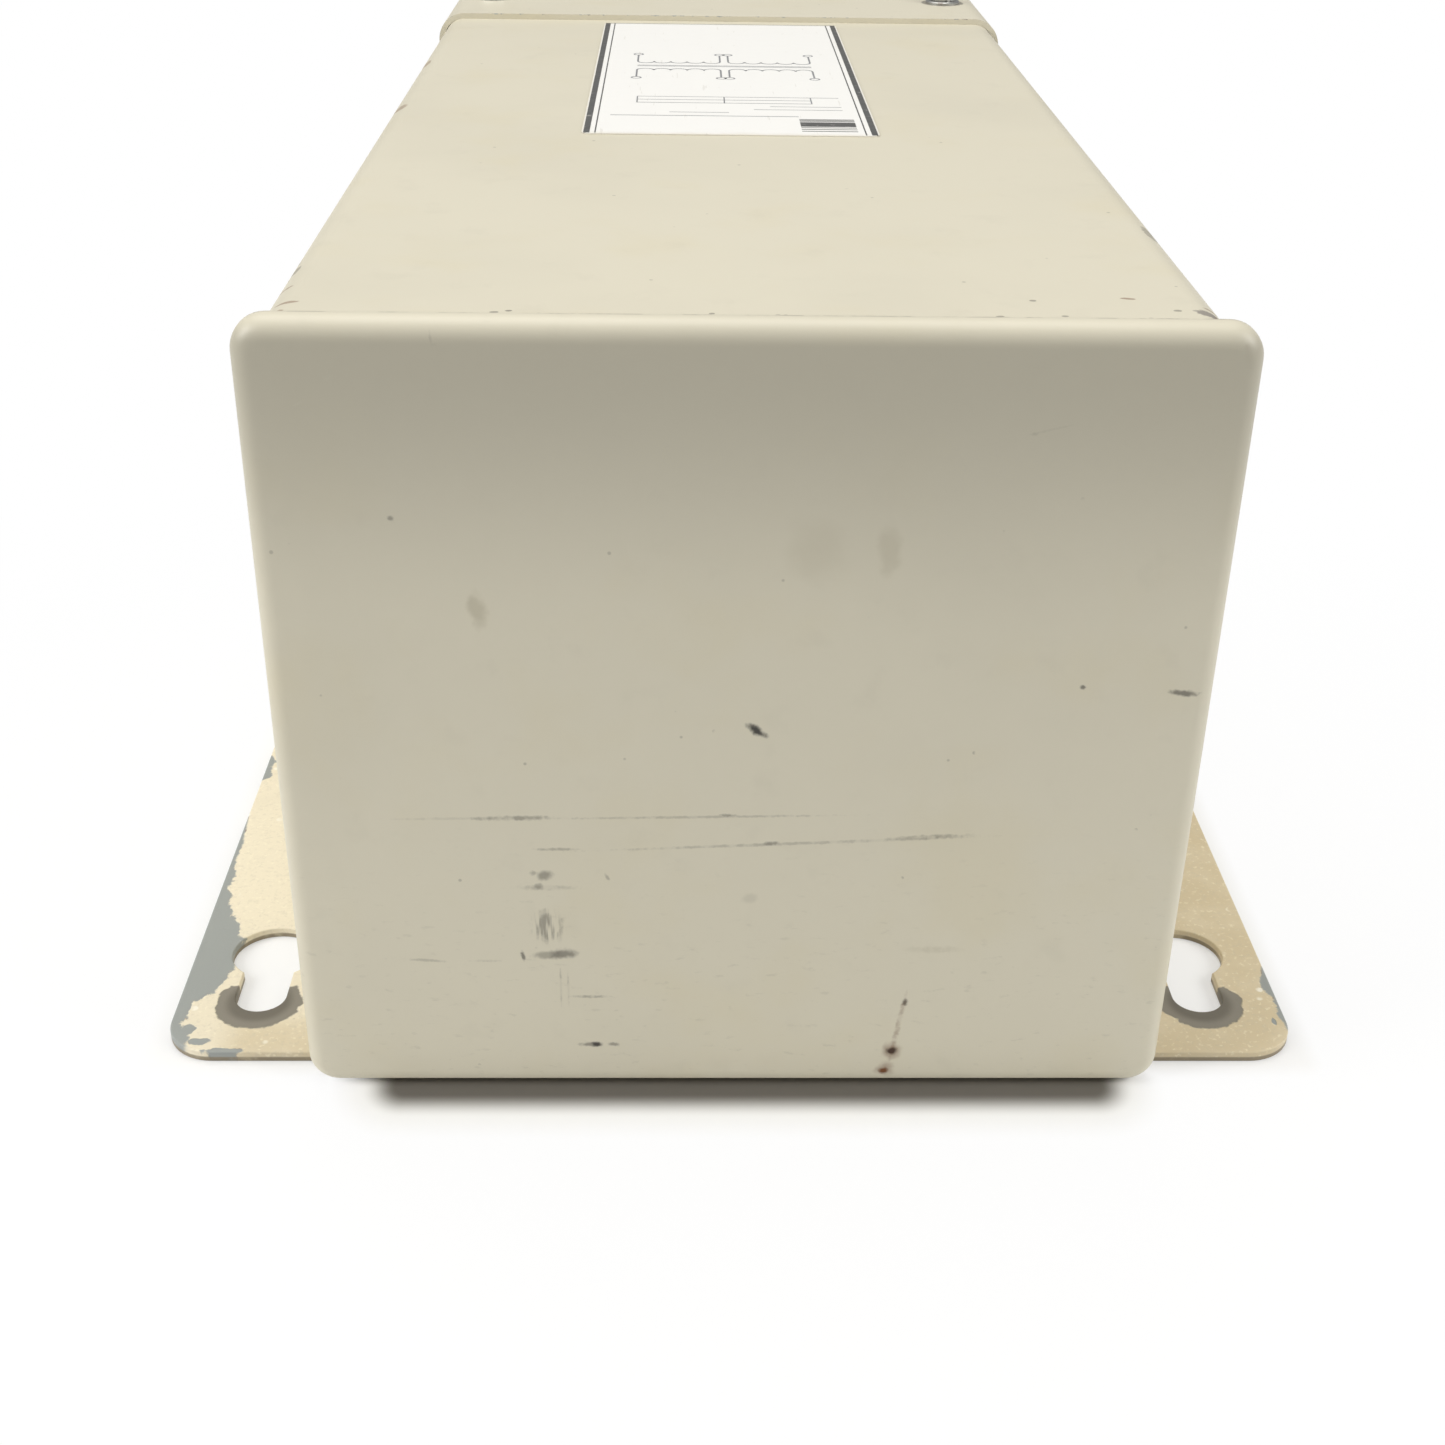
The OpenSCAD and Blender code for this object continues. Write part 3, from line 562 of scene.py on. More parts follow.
def cover_enamel(paint, screws):
    """The wiring cover: enamel crushed into rings by its screws."""
    finish = enamel("cover_enamel", paint.body_colour, paint.roughness, seed=14)
    edge_chips(finish, COVER_LOW, COVER_HIGH, paint.primer_colour, 1.8, seed=9, amount=0.3)
    for x, y in screws:
        ring = finish.spot((x, y, COVER_HIGH.z), (6.4, 6.4, 40), ragged=0.12, soft=0.12)
        finish.layer(finish.fade(ring, 0.8), tone(paint.bare_colour, 0.8), 0.5, -0.05)
    return finish.done()


def knockout_enamel(paint, name, centre, axis):
    """A knockout's slug, with the groove of its smaller size pressed in and painted shade in the groove."""
    finish = enamel(name, paint.body_colour, paint.roughness, seed=31)
    discs = []
    for radius in (7.4, 6.6):
        half = [radius] * 3
        half[axis] = ALL_THROUGH
        discs.append(finish.spot(tuple(centre), tuple(half), ragged=0.02, soft=0.06))
    # Painted shade: the groove is darkened with a darker copy of the enamel as well as sunk
    groove = finish.calc("SUBTRACT", *discs)
    finish.layer(finish.fade(groove, 0.75), tone(paint.body_colour, 0.35), 0.7, -0.3)
    return finish.done()


def speckled(name, colour, roughness, metallic=0.0, grain=2.0, contrast=0.75, bump=0.02, stretch=(1, 1, 1)):
    """A material of one colour with the mottling, grain and soiling that it has in use."""
    finish = Finish(name, colour, roughness, metallic)
    mottle = finish.ramp(finish.noise(grain * 6, 4, stretch, seed=3), 0.4, 0.7)
    finish.layer(finish.fade(mottle, 0.5), tone(colour, contrast), min(1, roughness + 0.12))
    fine = finish.noise(grain, 3, stretch, seed=6)
    finish.layer(finish.fade(finish.ramp(fine, 0.5, 0.75), 0.4), tone(colour, (1 + contrast) / 2))
    finish.height = finish.calc("MULTIPLY", fine, bump)
    return finish


def zinc_plate(name, colour):
    """Zinc plate gone dull, with spangles and a trace of rust."""
    finish = speckled(name, colour, 0.34, metallic=0.9, grain=1.2, contrast=0.7, bump=0.01)
    rusting = finish.ramp(finish.noise(4, 4, seed=19), 0.66, 0.76)
    finish.layer(finish.fade(rusting, 0.5), RUST, 0.8)
    return finish.done()


def laminations(name, colour):
    """Stacked edges of thin steel, with varnish between them."""
    finish = speckled(name, colour, 0.45, metallic=0.6, grain=1.5, bump=0.01)
    seams = finish.ramp(finish.calc("PINGPONG", finish.z, 0.25), 0.06, 0.0)
    finish.layer(finish.fade(seams, 0.8), tone(colour, 0.25), 0.6, -0.05)
    return finish.done()


def wound_wire(name, colour, pitch):
    """Enamelled wire laid turn beside turn along Y, with painted shade in the grooves between turns."""
    finish = speckled(name, colour, 0.28, metallic=0.7, grain=2.5, bump=0.005)
    across = finish.calc("PINGPONG", finish.y, pitch / 2)
    # Painted shade: a dark line, sunk a little, at each boundary between turns
    finish.layer(finish.ramp(across, pitch * 0.14, 0.0), tone(colour, 0.3), 0.5, -0.3)
    return finish.done()


def label_film():
    """Satin white film, yellowed at its edges and lightly scuffed."""
    white = screen_colour(240, 239, 235)
    finish = speckled("label_film", white, 0.4, grain=0.7, contrast=0.98, bump=0.004)
    edge = finish.edge_gap(LABEL_LOW, LABEL_HIGH)
    aged = finish.ramp(finish.calc("MULTIPLY_ADD", finish.noise(6, 3), 3.0, edge), 4.2, 1.0)
    finish.layer(finish.fade(aged, 0.4), screen_colour(214, 206, 182))
    rubbed = finish.ramp(finish.noise(1.2, 3, stretch=(1, 14, 1), seed=4), 0.66, 0.72)
    finish.layer(finish.fade(rubbed, 0.35), screen_colour(200, 196, 186), 0.5)
    return finish.done()


def printed_ink(name, colour):
    """Printing ink, rubbed thin in places."""
    finish = speckled(name, colour, 0.4, grain=0.6, contrast=0.8, bump=0.002)
    worn = finish.ramp(finish.noise(2.4, 4, seed=8), 0.6, 0.72)
    finish.layer(finish.fade(worn, 0.55), screen_colour(176, 174, 168))
    return finish.done()


def dress(material, *names):
    """Gives frame nodes one material."""
    for name in names:
        data = frame["nodes"][name].data
        data.materials.clear()
        data.materials.append(material)
        for polygon in data.polygons:
            polygon.material_index = 0


def dress_plain(name, colour, roughness, *nodes, **look):
    """Gives frame nodes a speckled material of their own."""
    dress(speckled(name, screen_colour(*colour), roughness, **look).done(), *nodes)


# ---------------------------------------------------------------- shapes

HEAD_HEIGHT = 4.1
WASHER_THICKNESS = 0.9
WASHER_RIM = 0.75
SLOT_WIDTH = 1.2
SLOT_DEPTH = 1.4
SHANK_RADIUS = 2.38
THREAD_DEPTH = 0.38
THREAD_PITCH = 0.79
EASING = 0.25


def new_piece(name, mesh, material, body, replaces=()):
    """Links a mesh as a finished piece that rides on a body."""
    mesh.materials.append(material)
    piece = bpy.data.objects.new(name, mesh)
    bpy.context.scene.collection.objects.link(piece)
    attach(piece, body)
    if replaces:
        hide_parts(*replaces)
    return piece


def rounded_loop(half_w, half_h, radius, arc_steps=10, side_steps=12):
    """Points round a rectangle with round corners, centred, the same count for any size."""
    points = []
    corners = ((1, 1, 0), (-1, 1, 90), (-1, -1, 180), (1, -1, 270))
    for x_side, y_side, start in corners:
        centre = (x_side * (half_w - radius), y_side * (half_h - radius))
        for step in range(arc_steps + 1):
            angle = math.radians(start + 90 * step / arc_steps)
            points.append((centre[0] + radius * math.cos(angle), centre[1] + radius * math.sin(angle)))
        here = points[-1]
        turn = math.radians(start + 90)
        after = corners[(corners.index((x_side, y_side, start)) + 1) % 4]
        there = (after[0] * (half_w - radius) + radius * math.cos(turn),
                 after[1] * (half_h - radius) + radius * math.sin(turn))
        for step in range(1, side_steps):
            share = step / side_steps
            points.append((here[0] + (there[0] - here[0]) * share, here[1] + (there[1] - here[1]) * share))
    return points


def skin(name, rings, smooth=True):
    """A mesh of quads between rings of points in millimetres, its two ends closed."""
    mesh = bpy.data.meshes.new(name)
    bm = bmesh.new()
    made = [[bm.verts.new(Vector(p) * MM) for p in ring] for ring in rings]
    for ring, after in zip(made, made[1:]):
        count = len(ring)
        for i in range(count):
            bm.faces.new((ring[i], ring[(i + 1) % count], after[(i + 1) % count], after[i]))
    bm.faces.new(reversed(made[0]))
    bm.faces.new(made[-1])
    bmesh.ops.recalc_face_normals(bm, faces=bm.faces)
    for face in bm.faces:
        face.smooth = smooth
    bm.to_mesh(mesh)
    bm.free()
    return mesh


def cap_rings(cap):
    """Rings from the middle of the cap's face, over the bend, round the lip and back inside."""
    half_w = (CAP_HIGH.x - CAP_LOW.x) / 2
    half_h = (CAP_HIGH.z - CAP_LOW.z) / 2
    middle_z = (CAP_HIGH.z + CAP_LOW.z) / 2
    depth = CAP_HIGH.y - CAP_LOW.y

    def ring(inset, back, share=1.0, crown=True):
        points = rounded_loop(half_w - inset, half_h - inset, max(cap.corner - inset, 0.4))
        placed = []
        for x, z in points:
            x, z = x * share, z * share
            rise = (1 - (x / half_w) ** 2) * (1 - (z / half_h) ** 2)
            sunk = cap.crown * (1 - rise) if crown else 0.0
            placed.append((x, CAP_LOW.y + back + sunk, z + middle_z))
        return placed

    def over_bend(radius, inset, back, steps, inward):
        turns = [math.radians(90 * i / steps) for i in range(steps + 1)]
        made = [(inset + radius * (1 - math.sin(a)), back + radius * (1 - math.cos(a))) for a in turns]
        return reversed(made) if inward else made

    shares = (0.02, 0.2, 0.4, 0.6, 0.78, 0.92)
    rings = [ring(cap.bend, 0, share) for share in shares]
    rings += [ring(inset, back) for inset, back in over_bend(cap.bend, 0, 0, 8, False)]
    lip = 0.3
    rings.append(ring(0, depth - lip, crown=False))
    rings.append(ring(lip * 0.3, depth - lip * 0.3, crown=False))
    rings.append(ring(lip, depth, crown=False))
    rings.append(ring(cap.sheet - lip, depth, crown=False))
    rings.append(ring(cap.sheet, depth - lip, crown=False))
    inner_bend = cap.bend - cap.sheet
    rings += [ring(inset, back) for inset, back in over_bend(inner_bend, cap.sheet, cap.sheet, 4, True)]
    rings += [ring(cap.bend, cap.sheet, share) for share in reversed(shares)]
    return rings


def flat_sheet(name, outlines, low_z, high_z, rounding):
    """A flat piece cut to closed outlines, the first its edge and the rest its holes, with eased edges."""
    curve = bpy.data.curves.new(name, "CURVE")
    curve.dimensions = "2D"
    curve.fill_mode = "BOTH"
    curve.extrude = (high_z - low_z) / 2 * MM - rounding * MM
    curve.bevel_depth = rounding * MM
    curve.bevel_resolution = 2
    curve.offset = -rounding * MM
    for outline in outlines:
        spline = curve.splines.new("POLY")
        spline.points.add(len(outline) - 1)
        for point, (x, y) in zip(spline.points, outline):
            point.co = (x * MM, y * MM, 0, 1)
        spline.use_cyclic_u = True
    holder = bpy.data.objects.new(name + "_outline", curve)
    bpy.context.scene.collection.objects.link(holder)
    bpy.context.view_layer.update()
    mesh = bpy.data.meshes.new_from_object(holder.evaluated_get(bpy.context.evaluated_depsgraph_get()))
    bpy.data.objects.remove(holder)
    mesh.name = name
    mesh.transform(Matrix.Translation((0, 0, (low_z + high_z) / 2 * MM)))
    mesh.shade_smooth()
    mesh.set_sharp_from_angle(angle=math.radians(50))
    return mesh


def arc(centre, radius, start, end, steps):
    """Points on an arc, from start to end in degrees."""
    turns = [math.radians(start + (end - start) * i / steps) for i in range(steps + 1)]
    return [(centre[0] + radius * math.cos(a), centre[1] + radius * math.sin(a)) for a in turns]


def keyhole_outline(x, seat_y, entry_radius):
    """Outline of a keyhole: its round seat towards -Y and its round entry towards +Y."""
    half_neck = math.degrees(math.asin(SEAT_RADIUS / entry_radius))
    seat = arc((x, seat_y), SEAT_RADIUS, 180, 360, 20)
    entry = arc((x, seat_y + KEYHOLE_REACH), entry_radius, -90 + half_neck, 270 - half_neck, 40)
    return seat + entry


def strips(name, boxes, low_z, high_z):
    """Thin flat strips, each (x0, y0, x1, y1), joined as one mesh."""
    bm = bmesh.new()
    for x0, y0, x1, y1 in boxes:
        size = Vector((abs(x1 - x0), abs(y1 - y0), high_z - low_z)) * MM
        centre = Vector(((x0 + x1) / 2, (y0 + y1) / 2, (low_z + high_z) / 2)) * MM
        matrix = Matrix.Translation(centre) @ Matrix.Diagonal((*size, 1))
        bmesh.ops.create_cube(bm, size=1, matrix=matrix)
    mesh = bpy.data.meshes.new(name)
    bm.to_mesh(mesh)
    bm.free()
    return mesh


def bent_strip(points, width, low_z, high_z):
    """Rings of a thin strip that follows points on a plane."""
    rings = []
    for i, point in enumerate(points):
        before = points[max(i - 1, 0)]
        after = points[min(i + 1, len(points) - 1)]
        along = Vector((after[0] - before[0], after[1] - before[1])).normalized()
        side = Vector((-along.y, along.x)) * (width / 2)
        left = (point[0] + side.x, point[1] + side.y)
        right = (point[0] - side.x, point[1] - side.y)
        rings.append([(*left, low_z), (*right, low_z), (*right, high_z), (*left, high_z)])
    return rings


def join_meshes(name, meshes):
    bm = bmesh.new()
    for mesh in meshes:
        bm.from_mesh(mesh)
        bpy.data.meshes.remove(mesh)
    joined = bpy.data.meshes.new(name)
    bm.to_mesh(joined)
    bm.free()
    return joined


def threaded_shank(length, around=28):
    """Rings of a screw thread that hangs down from z = 0, coming to a blunt end."""
    rings = []
    steps = int(length / THREAD_PITCH * 6)
    for step in range(steps + 1):
        z = -length * step / steps
        fade = min(1.0, step / 4, (steps - step) / 5)
        ring = []
        for i in range(around):
            turn = i / around
            phase = (z / THREAD_PITCH + turn) % 1.0
            crest = 1 - abs(2 * phase - 1)
            r = SHANK_RADIUS - THREAD_DEPTH * (1 - crest * fade)
            ring.append((r * math.cos(turn * math.tau), r * math.sin(turn * math.tau), z))
        rings.append(ring)
    return rings


def hex_washer_head(washer_r):
    """A slotted hex washer head seated on z = 0, with eased edges."""
    across_r = washer_r - WASHER_RIM
    profile = ((washer_r, 0), (washer_r, WASHER_THICKNESS * 0.55),
               (washer_r - EASING, WASHER_THICKNESS * 0.9), (washer_r - 0.6, WASHER_THICKNESS))
    rings = [[(x, y, z) for x, y in arc((0, 0), r, 0, 360, 40)[:-1]] for r, z in profile]
    washer = skin("head_washer", rings)
    bm = bmesh.new()
    hexagon = arc((0, 0), across_r, 0, 360, 6)[:-1]
    for y_side in (-1, 1):
        half = clip_half(hexagon, y_side, SLOT_WIDTH / 2)
        floor = [bm.verts.new((x * MM, y * MM, WASHER_THICKNESS * MM)) for x, y in half]
        lid = [bm.verts.new((x * MM, y * MM, HEAD_HEIGHT * MM)) for x, y in half]
        count = len(half)
        for i in range(count):
            bm.faces.new((floor[i], floor[(i + 1) % count], lid[(i + 1) % count], lid[i]))
        bm.faces.new(lid)
        bm.faces.new(reversed(floor))
    slot_floor = HEAD_HEIGHT - WASHER_THICKNESS - SLOT_DEPTH
    slab = Vector((2 * across_r * 0.96, SLOT_WIDTH + 0.2, slot_floor)) * MM
    lifted = Matrix.Translation((0, 0, (WASHER_THICKNESS + slot_floor / 2) * MM))
    bmesh.ops.create_cube(bm, size=1, matrix=lifted @ Matrix.Diagonal((*slab, 1)))
    bmesh.ops.recalc_face_normals(bm, faces=bm.faces)
    crisp = [e for e in bm.edges if len(e.link_faces) == 2 and e.calc_face_angle() > 0.5]
    bmesh.ops.bevel(bm, geom=crisp, offset=EASING * MM, segments=2, affect="EDGES", clamp_overlap=True)
    block = bpy.data.meshes.new("head_block")
    bm.to_mesh(block)
    bm.free()
    return [washer, block]


def clip_half(polygon, side, offset):
    """The part of a convex polygon on one side of the line y = side * offset."""
    kept = []
    for i, (x0, y0) in enumerate(polygon):
        x1, y1 = polygon[(i + 1) % len(polygon)]
        d0, d1 = side * y0 - offset, side * y1 - offset
        if d0 >= 0:
            kept.append((x0, y0))
        if (d0 > 0) != (d1 > 0) and d0 != d1:
            share = d0 / (d0 - d1)
            kept.append((x0 + (x1 - x0) * share, y0 + (y1 - y0) * share))
    return kept


def shaped_screw(name, node, body, material, turn):
    """A slotted hex washer head screw, in the place and size of its frame node."""
    low, high = node_box(node)
    centre = (low + high) / 2
    washer_r = (high.x - low.x) / 2
    seat_z = high.z - HEAD_HEIGHT
    pieces = hex_washer_head(washer_r)
    pieces.append(skin("shank", threaded_shank(seat_z - low.z)))
    mesh = join_meshes(name, pieces)
    seated = Matrix.Translation(Vector((centre.x, centre.y, seat_z)) * MM)
    mesh.transform(seated @ Matrix.Rotation(turn, 4, "Z"))
    mesh.shade_smooth()
    mesh.set_sharp_from_angle(angle=math.radians(38))
    return new_piece(name, mesh, material, body, (node,))


# ---------------------------------------------------------------- operators

WARM_WHITE = (1.0, 0.985, 0.955)
LAMP_TARGET = Vector((0, -0.05, 0.05))


class TRANSFORMER_OT_stage(bpy.types.Operator):
    """Set the camera, the lights, the floor and the surroundings"""

    bl_idname = "transformer.stage"
    bl_label = "Studio"

    def execute(self, context):
        studio = context.scene.transformer_studio
        self.place_camera(context, studio)
        self.place_lights(context, studio)
        self.lay_floor(context, studio)
        self.fill_surroundings(context, studio)
        context.scene.view_settings.view_transform = "Standard"
        return {"FINISHED"}

    def place_camera(self, context, studio):
        pitch, yaw, roll = (math.radians(a) for a in (studio.pitch, studio.yaw, studio.roll))
        ahead = Vector((math.sin(yaw) * math.cos(pitch), math.cos(yaw) * math.cos(pitch), -math.sin(pitch)))
        right = Vector((math.cos(yaw), -math.sin(yaw), 0))
        down = ahead.cross(right)
        rolled_right = right * math.cos(roll) - down * math.sin(roll)
        rolled_down = right * math.sin(roll) + down * math.cos(roll)
        data = bpy.data.cameras.new("camera")
        data.lens = studio.lens
        data.sensor_width = 36
        camera = bpy.data.objects.new("camera", data)
        turn = Matrix((rolled_right, -rolled_down, -ahead)).transposed().to_4x4()
        place = Vector(studio.camera_place) + Vector((0, CAP_LOW.y * MM, 0))
        camera.matrix_world = Matrix.Translation(place) @ turn
        context.scene.collection.objects.link(camera)
        context.scene.camera = camera

    def place_lights(self, context, studio):
        lamps = (
            ("key", (-0.1, 0.3, 1.5), 1.2, studio.key_power),
            ("left", (-1.2, -0.45, 0.85), 0.7, studio.left_power),
            ("right", (1.2, -0.45, 0.85), 0.7, studio.right_power),
        )
        for name, place, size, power in lamps:
            data = bpy.data.lights.new(name, "AREA")
            data.size = size
            data.energy = power
            data.color = WARM_WHITE
            lamp = bpy.data.objects.new(name, data)
            lamp.location = place
            aim = LAMP_TARGET - Vector(place)
            lamp.rotation_euler = aim.to_track_quat("-Z", "Y").to_euler()
            context.scene.collection.objects.link(lamp)

    def lay_floor(self, context, studio):
        bm = bmesh.new()
        bmesh.ops.create_grid(bm, x_segments=8, y_segments=8, size=6.0)
        mesh = bpy.data.meshes.new("floor")
        bm.to_mesh(mesh)
        bm.free()
        floor = bpy.data.objects.new("floor", mesh)
        context.scene.collection.objects.link(floor)
        finish = Finish("floor_card", (0.9, 0.9, 0.89), 0.8)
        grain = finish.ramp(finish.noise(40, 3), 0.3, 0.7)
        finish.layer(finish.fade(grain, 0.3), (0.88, 0.88, 0.875))
        foot = finish.distance_outside((-64, CAP_LOW.y), (70, CAP_HIGH.y))
        paths = finish.add("ShaderNodeLightPath").outputs
        seen = finish.either(*(paths[n] for n in ("Is Camera Ray", "Is Glossy Ray", "Is Transmission Ray")))
        # Painted contact shadow: the floor as seen is painted near-black within a few millimetres of the
        # part's foot
        crevice = finish.fade(finish.ramp(foot, 9, 2), 0.94)
        finish.layer(finish.both(crevice, seen), (0.07, 0.06, 0.045))
        # Painted pool of light: the floor is pale near the part and turns grey from 160 to 520 mm away
        finish.layer(finish.ramp(foot, 160, 520), (0.34, 0.34, 0.34))
        material = finish.done()
        plate = finish.distance_outside((PLATE_LOW.x, PLATE_LOW.y), (PLATE_HIGH.x, PLATE_HIGH.y))
        under_plate = finish.fade(finish.ramp(plate, 7, 0), 0.6)
        deep = finish.either(finish.ramp(foot, studio.shade_reach, 4), under_plate)
        soft = finish.ramp(foot, 320, 30, 0.0, 0.12)
        white = finish.calc("SUBTRACT", 1.0, finish.either(deep, soft))
        glow = finish.add("ShaderNodeEmission", {"Color": (1, 1, 1, 1), "Strength": 1.0})
        blend = finish.add("ShaderNodeMixShader", {0: finish.both(white, seen)})
        finish.feed(blend.inputs[1], finish.shader.outputs[0])
        finish.feed(blend.inputs[2], glow.outputs[0])
        finish.feed(finish.tree.nodes["Material Output"].inputs["Surface"], blend.outputs[0])
        mesh.materials.append(material)

    def fill_surroundings(self, context, studio):
        world = bpy.data.worlds.new("surroundings")
        world.use_nodes = True
        context.scene.world = world
        tree = world.node_tree
        lighting = tree.nodes["Background"]
        lighting.inputs["Color"].default_value = (0.97, 0.98, 1.0, 1)
        lighting.inputs["Strength"].default_value = studio.sky
        backdrop = tree.nodes.new("ShaderNodeBackground")
        backdrop.inputs["Color"].default_value = (1, 1, 1, 1)
        backdrop.inputs["Strength"].default_value = 1.0
        seen = tree.nodes.new("ShaderNodeLightPath")
        blend = tree.nodes.new("ShaderNodeMixShader")
        tree.links.new(seen.outputs["Is Camera Ray"], blend.inputs[0])
        tree.links.new(lighting.outputs[0], blend.inputs[1])
        tree.links.new(backdrop.outputs[0], blend.inputs[2])
        tree.links.new(blend.outputs[0], tree.nodes["World Output"].inputs["Surface"])


class TRANSFORMER_OT_end_cap(bpy.types.Operator):
    """Press the end cap and give it its scuffed enamel"""

    bl_idname = "transformer.end_cap"
    bl_label = "End cap"

    def execute(self, context):
        scene = context.scene
        mesh = skin("end_cap_pressing", cap_rings(scene.transformer_cap))
        new_piece("end_cap_pressing", mesh, cap_enamel(scene.transformer_paint), "enclosure",
                  ("end_cap",))
        return {"FINISHED"}


class TRANSFORMER_OT_body(bpy.types.Operator):
    """Paint the folded body and the wiring end plate"""

    bl_idname = "transformer.body"
    bl_label = "Body"

    def execute(self, context):
        paint = context.scene.transformer_paint
        dress(body_enamel(paint), "body_shell")
        end = enamel("end_plate_enamel", paint.body_colour, paint.roughness, seed=12)
        rubbed = end.ramp(end.noise(5, 4, seed=6), 0.6, 0.68)
        end.layer(end.fade(rubbed, 0.4), tone(paint.body_colour, 0.6), 0.6)
        chipped = (13.2, ALL_THROUGH, 13.2)
        hole = end.spot(tuple(CONDUIT), chipped, ragged=0.2, grain=2.5, soft=0.2)
        chip(end, hole, paint.primer_colour)
        dress(end.done(), "wiring_end_plate")
        for name, axis in (("knockout_end", 1), ("knockout_left", 0), ("knockout_right", 0)):
            low, high = node_box(name)
            dress(knockout_enamel(paint, name + "_enamel", (low + high) / 2, axis), name)
        return {"FINISHED"}


class TRANSFORMER_OT_plate(bpy.types.Operator):
    """Cut the mounting plate with its keyholes and paint it"""

    bl_idname = "transformer.plate"
    bl_label = "Mounting plate"

    entry_radius: length_setting("Entry", "Keyhole entry radius", ENTRIES["dims"]["hole_r_mm"])
    easing: length_setting("Easing", "Rounding of the sheared edges", 0.3)

    def execute(self, context):
        half_w = (PLATE_HIGH.x - PLATE_LOW.x) / 2
        half_l = (PLATE_HIGH.y - PLATE_LOW.y) / 2
        middle_y = (PLATE_HIGH.y + PLATE_LOW.y) / 2
        outlines = [[(x, y + middle_y) for x, y in rounded_loop(half_w, half_l, PLATE_CORNER, 14, 8)]]
        for seat_y in SEATS_Y:
            for side in (-1, 1):
                outlines.append(keyhole_outline(side * SEAT_X, seat_y, self.entry_radius))
        mesh = flat_sheet("mounting_plate_sheet", outlines, PLATE_LOW.z, PLATE_HIGH.z, self.easing)
        material = plate_enamel(context.scene.transformer_paint)
        new_piece("mounting_plate_sheet", mesh, material, "enclosure", ("back_plate",))
        return {"FINISHED"}


class TRANSFORMER_OT_nameplate(bpy.types.Operator):
    """Lay the blank nameplate, with its borders, rules and winding diagram"""

    bl_idname = "transformer.nameplate"
    bl_label = "Nameplate"

    ink_t: length_setting("Ink", "Thickness of the printing", 0.03)
    turns: IntProperty(name="Turns", description="Loops in each half of the winding diagram", default=5)

    def execute(self, context):
        label = context.scene.transformer_label
        half_w = (LABEL_HIGH.x - LABEL_LOW.x) / 2
        half_l = (LABEL_HIGH.y - LABEL_LOW.y) / 2
        middle_y = (LABEL_HIGH.y + LABEL_LOW.y) / 2
        outline = [(x, y + middle_y) for x, y in rounded_loop(half_w, half_l, 2.0, 8, 6)]
        film = flat_sheet("nameplate_film", [outline], LABEL_LOW.z, LABEL_HIGH.z, 0.06)
        new_piece("nameplate_film", film, label_film(), "enclosure", ("nameplate",))
        base = LABEL_HIGH.z
        ink = printed_ink("printed_ink", label.ink)
        fine_ink = printed_ink("printed_lines", label.fine_ink)
        left, right = LABEL_LOW.x + label.margin, LABEL_HIGH.x - label.margin
        near, far = LABEL_LOW.y + label.margin, LABEL_HIGH.y - label.margin
        inner_left, inner_right = left + label.bar + 1.1, right - label.bar - 1.1
        rule = label.rule
        boxes = [(left, near, left + label.bar, far), (right - label.bar, near, right, far)]
        boxes += [(inner_left, near, inner_left + rule, far), (inner_right - rule, near, inner_right, far)]
        boxes.append((left, far - rule, right, far))
        self.printed(strips("nameplate_borders", boxes, base, base + self.ink_t), ink)
        header_end = near + 19
        block_left, block_right = inner_right - 14.5, inner_right - 1.8
        block = [(block_left, near + 8.6, block_right, near + 13.2)]
        for y in (3.4, 5.4, 7.2, 14.0, 15.0, 16.0):
            block.append((block_left, near + y, block_right, near + y + 0.5))
        rules = [(inner_left + 3, header_end, block_left, header_end + 1.3 * rule)]
        rows = ((-14, 0), (6, 27), (10, 27), (-22, 20), (-22, 20), (-22, 27))
        for row, (start, end) in enumerate(rows):
            y = header_end + 4 + 3.6 * row
            rules.append((start, y, end, y + rule))
        for x in (-22, -1, 20):
            rules.append((x, header_end + 14.8, x + rule, header_end + 22))
        self.printed(strips("nameplate_block", block, base, base + self.ink_t), ink)
        self.printed(strips("nameplate_rules", rules, base, base + self.ink_t), fine_ink)
        self.draw_diagram(fine_ink, base, header_end + 44, inner_left, inner_right)
        return {"FINISHED"}

    def printed(self, mesh, ink):
        new_piece(mesh.name, mesh, ink, "enclosure")

    def draw_diagram(self, ink, base, near, left, right):
        """Two facing rows of loops with their tails and terminal rings."""
        lines = []
        loop_r = (right - left - 16) / (4 * self.turns + 1)
        for row, bulge in ((near + 12, 1), (near + 24, -1)):
            start = left + 8
            for half in (0, 1):
                x = start + half * (2 * self.turns + 1) * loop_r
                path = [(x, row - bulge * 9)]
                for turn in range(self.turns):
                    centre = (x + (2 * turn + 1) * loop_r, row)
                    path += arc(centre, loop_r, 180, 180 - 180 * bulge, 10)
                path.append((x + 2 * self.turns * loop_r, row - bulge * 9))
                lines.append(bent_strip(path, 0.45, base, base + self.ink_t))
                for end in (x, x + 2 * self.turns * loop_r):
                    ring = arc((end, row - bulge * 10.2), 1.2, 0, 360, 20)
                    lines.append(bent_strip(ring, 0.4, base, base + self.ink_t))
        for y in (near + 17.5, near + 18.6):
            lines.append(bent_strip([(left + 8, y), (right - 8, y)], 0.4, base, base + self.ink_t))
        meshes = [skin("line", rings, smooth=False) for rings in lines]
        self.printed(join_meshes("nameplate_diagram", meshes), ink)


